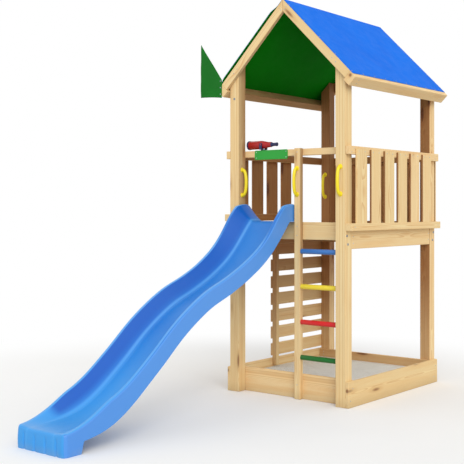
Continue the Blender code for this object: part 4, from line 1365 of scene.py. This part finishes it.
def sideFixings(screws, bolts, side, name, way):
    # Rails and sandbox boards on the posts
    inset = fixings["railInset"]
    for node, levels in (("top_rail_" + name, None), ("sandbox_board_" + name, fixings["sideBoards"])):
        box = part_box(node)
        pair = crossedPair(*levels, 0) if levels else crossedPair(box[0].z, box[1].z, inset)
        for end in (-1, 1):
            for z, shift in pair:
                fix(screws, box[side > 0].x, postY[end] + shift, z, way)
    # Slats on the top rail, foot rail on the posts
    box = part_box("railing_" + name)
    for end in (-1, 1) if side > 0 else (-1,):
        fix(screws, box[side > 0].x, postY[end], box[0].z + railing["footHeight"] / 2, way)
    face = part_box("top_rail_" + name)[side > 0].x + side * (fitGap + railing["slatThickness"])
    first = middle.y - halfDepth + railing[name + "Start"] + railing["slatWidth"] / 2
    for i in range(railing[name + "Slats"]):
        y = first + i * (railing["slatWidth"] + railing["slatGap"])
        for shift in both(fixings["slatShift"]):
            fix(screws, face, y + shift, box[1].z - fixings["slatDrop"], way)
    # Bolts through the posts into the side beam, screws through it into the front and back beams
    low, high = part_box("platform_beam_" + name)
    outside = middle.x + side * halfWidth
    for z, inward in zip(within(low.z, high.z, fixings["beamBoltInset"]), fixings["beamBolts"]):
        for end in (-1, 1):
            fix(bolts, outside, middle.y + end * (halfDepth - inward), z, way)
    inward, inset = fixings["beamScrewInset"]
    for z in within(low.z, high.z, inset):
        for y in within(low.y, high.y, inward):
            fix(screws, outside, y, z, way)
    # Rafters on the posts and on the ridge, eave beams on the posts
    slopeWay = Vector((side, 0, -1)).normalized()
    for end, place, facing in ((-1, "front", front), (1, "back", back)):
        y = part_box("rafter_%s_%s" % (place, name))[end > 0].y
        for along, depth in fixings["rafter"]:
            spot = roofPoint(side, along, depth, 0)
            fix(screws, spot.x, y, spot.z, facing)
        for depth in fixings["eave"]:
            low = eaveStart() + roofLook["eaveBeam"]
            screws.append((roofPoint(side, low, depth, postY[end] - middle.y), slopeWay))


def backFixings(screws):
    # Climbing boards on the stud and the back post
    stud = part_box("climbing_stud")
    for i in range(1, 9):
        low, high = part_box("climbing_board_%d" % i)
        for y in ((stud[0].y + stud[1].y) / 2, postY[1]):
            for shift in both(fixings["boardShift"]):
                fix(screws, low.x, y, (low.z + high.z) / 2 + shift, left)
    # Back rail and its slats, then the sandbox boards and the front rail from behind
    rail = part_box("top_rail_back")
    for side in (-1, 1):
        for z, shift in crossedPair(rail[0].z, rail[1].z, fixings["railInset"]):
            fix(screws, postX[side] + shift, rail[1].y, z, back)
    low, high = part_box("railing_back")
    face = rail[1].y + fitGap + railing["slatThickness"]
    start, pitch = backRow()
    for i in range(railing["backSlats"]):
        x = start + (i + 0.5) * pitch
        for shift in both(fixings["slatShift"]):
            fix(screws, x + shift, face, high.z - fixings["slatDrop"], back)
    for side in (-1, 1):
        fix(screws, postX[side], high.y, low.z + railing["footHeight"] / 2, back)
        for node, way, corner in (("sandbox_board_front", back, 1), ("sandbox_board_back", front, 0)):
            for z in fixings["endBoards"]:
                fix(screws, postX[side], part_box(node)[corner].y, z, way)
        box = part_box("front_rail")
        for z, shift in crossedPair(box[0].z, box[1].z, fixings["frontRailInset"]):
            fix(screws, postX[side] + shift, box[1].y, z, back)


def frontFixings(screws, bolts):
    # Middle post on the front beam, the front rail and the sandbox
    low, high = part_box("post_middle")
    for z in fixings["middlePost"]:
        fix(screws, (low.x + high.x) / 2, low.y, z, front)
    fix(bolts, postX[-1], middle.y - halfDepth, fixings["capHeight"], front)
    # Deck boards on the side beams and the joist
    start, pitch = deckRow()
    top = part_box("platform_deck")[1].z
    reach = halfWidth - fixings["beamScrewInset"][0]
    for i in range(railing["deckBoards"]):
        y = start + (i + 0.5) * pitch - railing["deckGap"] / 2
        for x in (middle.x - reach, middle.x, middle.x + reach):
            for shift in both(fixings["deckShift"]):
                fix(screws, x, y + shift, top, up)
    # The plate's corners and the slide's lip
    low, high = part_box("front_plate")
    inset = fixings["plateInset"]
    for x in within(low.x, high.x, inset):
        for z in within(low.z, high.z, inset):
            fix(screws, x, low.y + plateLook["rim"], z, front)
    y = middle.y - halfDepth + postSize + fixings["lipInset"]
    for shift in both(fixings["lipShift"]):
        fix(bolts, middle.x + slideLook["centre"] + shift, y, chute["lipHeight"] + chute["wall"] / 2, up)


def clothTacks():
    tacks = [(pennantPoint(0.93, down) + front * 0.0008, front) for down in (0.18, 0.5, 0.82)]
    count = int(clothLength / fixings["tackPitch"])
    for side in (-1, 1):
        out = Vector((side, 0, 1)).normalized()
        spots = [(0.07 + (clothLength - 0.10) * i / (count - 1), y)
                 for y in both(clothFront - 0.016) for i in range(count)]
        spots += [(clothLength - 0.014, -clothFront + 2 * clothFront * i / 9) for i in range(1, 9)]
        tacks += [(clothPoint(side, along, y) + out * 0.0008, out) for along, y in spots]
    return tacks


def buildFixings():
    screws, bolts = [], []
    sideFixings(screws, bolts, -1, "left", left)
    sideFixings(screws, bolts, 1, "right", right)
    backFixings(screws)
    frontFixings(screws, bolts)
    tacks = clothTacks()
    zinc = metalMaterial("zinc", fixings["screwColour"])
    capMetal = metalMaterial("bolt_zinc", fixings["capColour"], 0.42)
    grow(screwTree(), pointsSource("screw_points", screws), "screw_heads", zinc, angle=30.0)
    tree = boltTree()
    grow(tree, pointsSource("bolt_points", bolts), "bolt_heads", capMetal, angle=40.0)
    radius = fixings["tackRadius"]
    grow(tree, pointsSource("tack_points", tacks), "cloth_tacks", capMetal,
         {"Cap Radius": radius * 0.55, "Cap Height": 0.0020, "Washer Radius": radius,
          "Washer Height": 0.0008, "Sides": 16}, angle=40.0)
    print("fixings:", len(screws), "screws,", len(bolts), "bolts,", len(tacks), "tacks")


buildFixings()


def buildStudio():
    bm = bmesh.new()
    size = lightLook["floorSize"]
    corners = ((-size, -size), (size, -size), (size, size), (-size, size))
    bm.faces.new([bm.verts.new((x, y, -0.0005)) for x, y in corners])
    mesh = bpy.data.meshes.new("floor")
    bm.to_mesh(mesh)
    bm.free()
    mesh.materials.append(floorMaterial())
    linkItem("floor", mesh)
    # White wherever the world is seen, plain elsewhere
    paint = Paint("studio", bpy.data.worlds)
    camera = paint.add("ShaderNodeLightPath")
    glossy, through = camera.beside("Is Glossy Ray"), camera.beside("Is Transmission Ray")
    seen = camera.maths("MAXIMUM", glossy).maths("MAXIMUM", through)
    strength = paint.add("ShaderNodeMapRange", None, {0: seen, 3: lightLook["sky"], 4: 1.0})
    background = paint.add("ShaderNodeBackground", None, {"Color": (1, 1, 1, 1), "Strength": strength})
    bpy.context.scene.world = paint.output(background, "ShaderNodeOutputWorld")


buildStudio()
print("studio set")
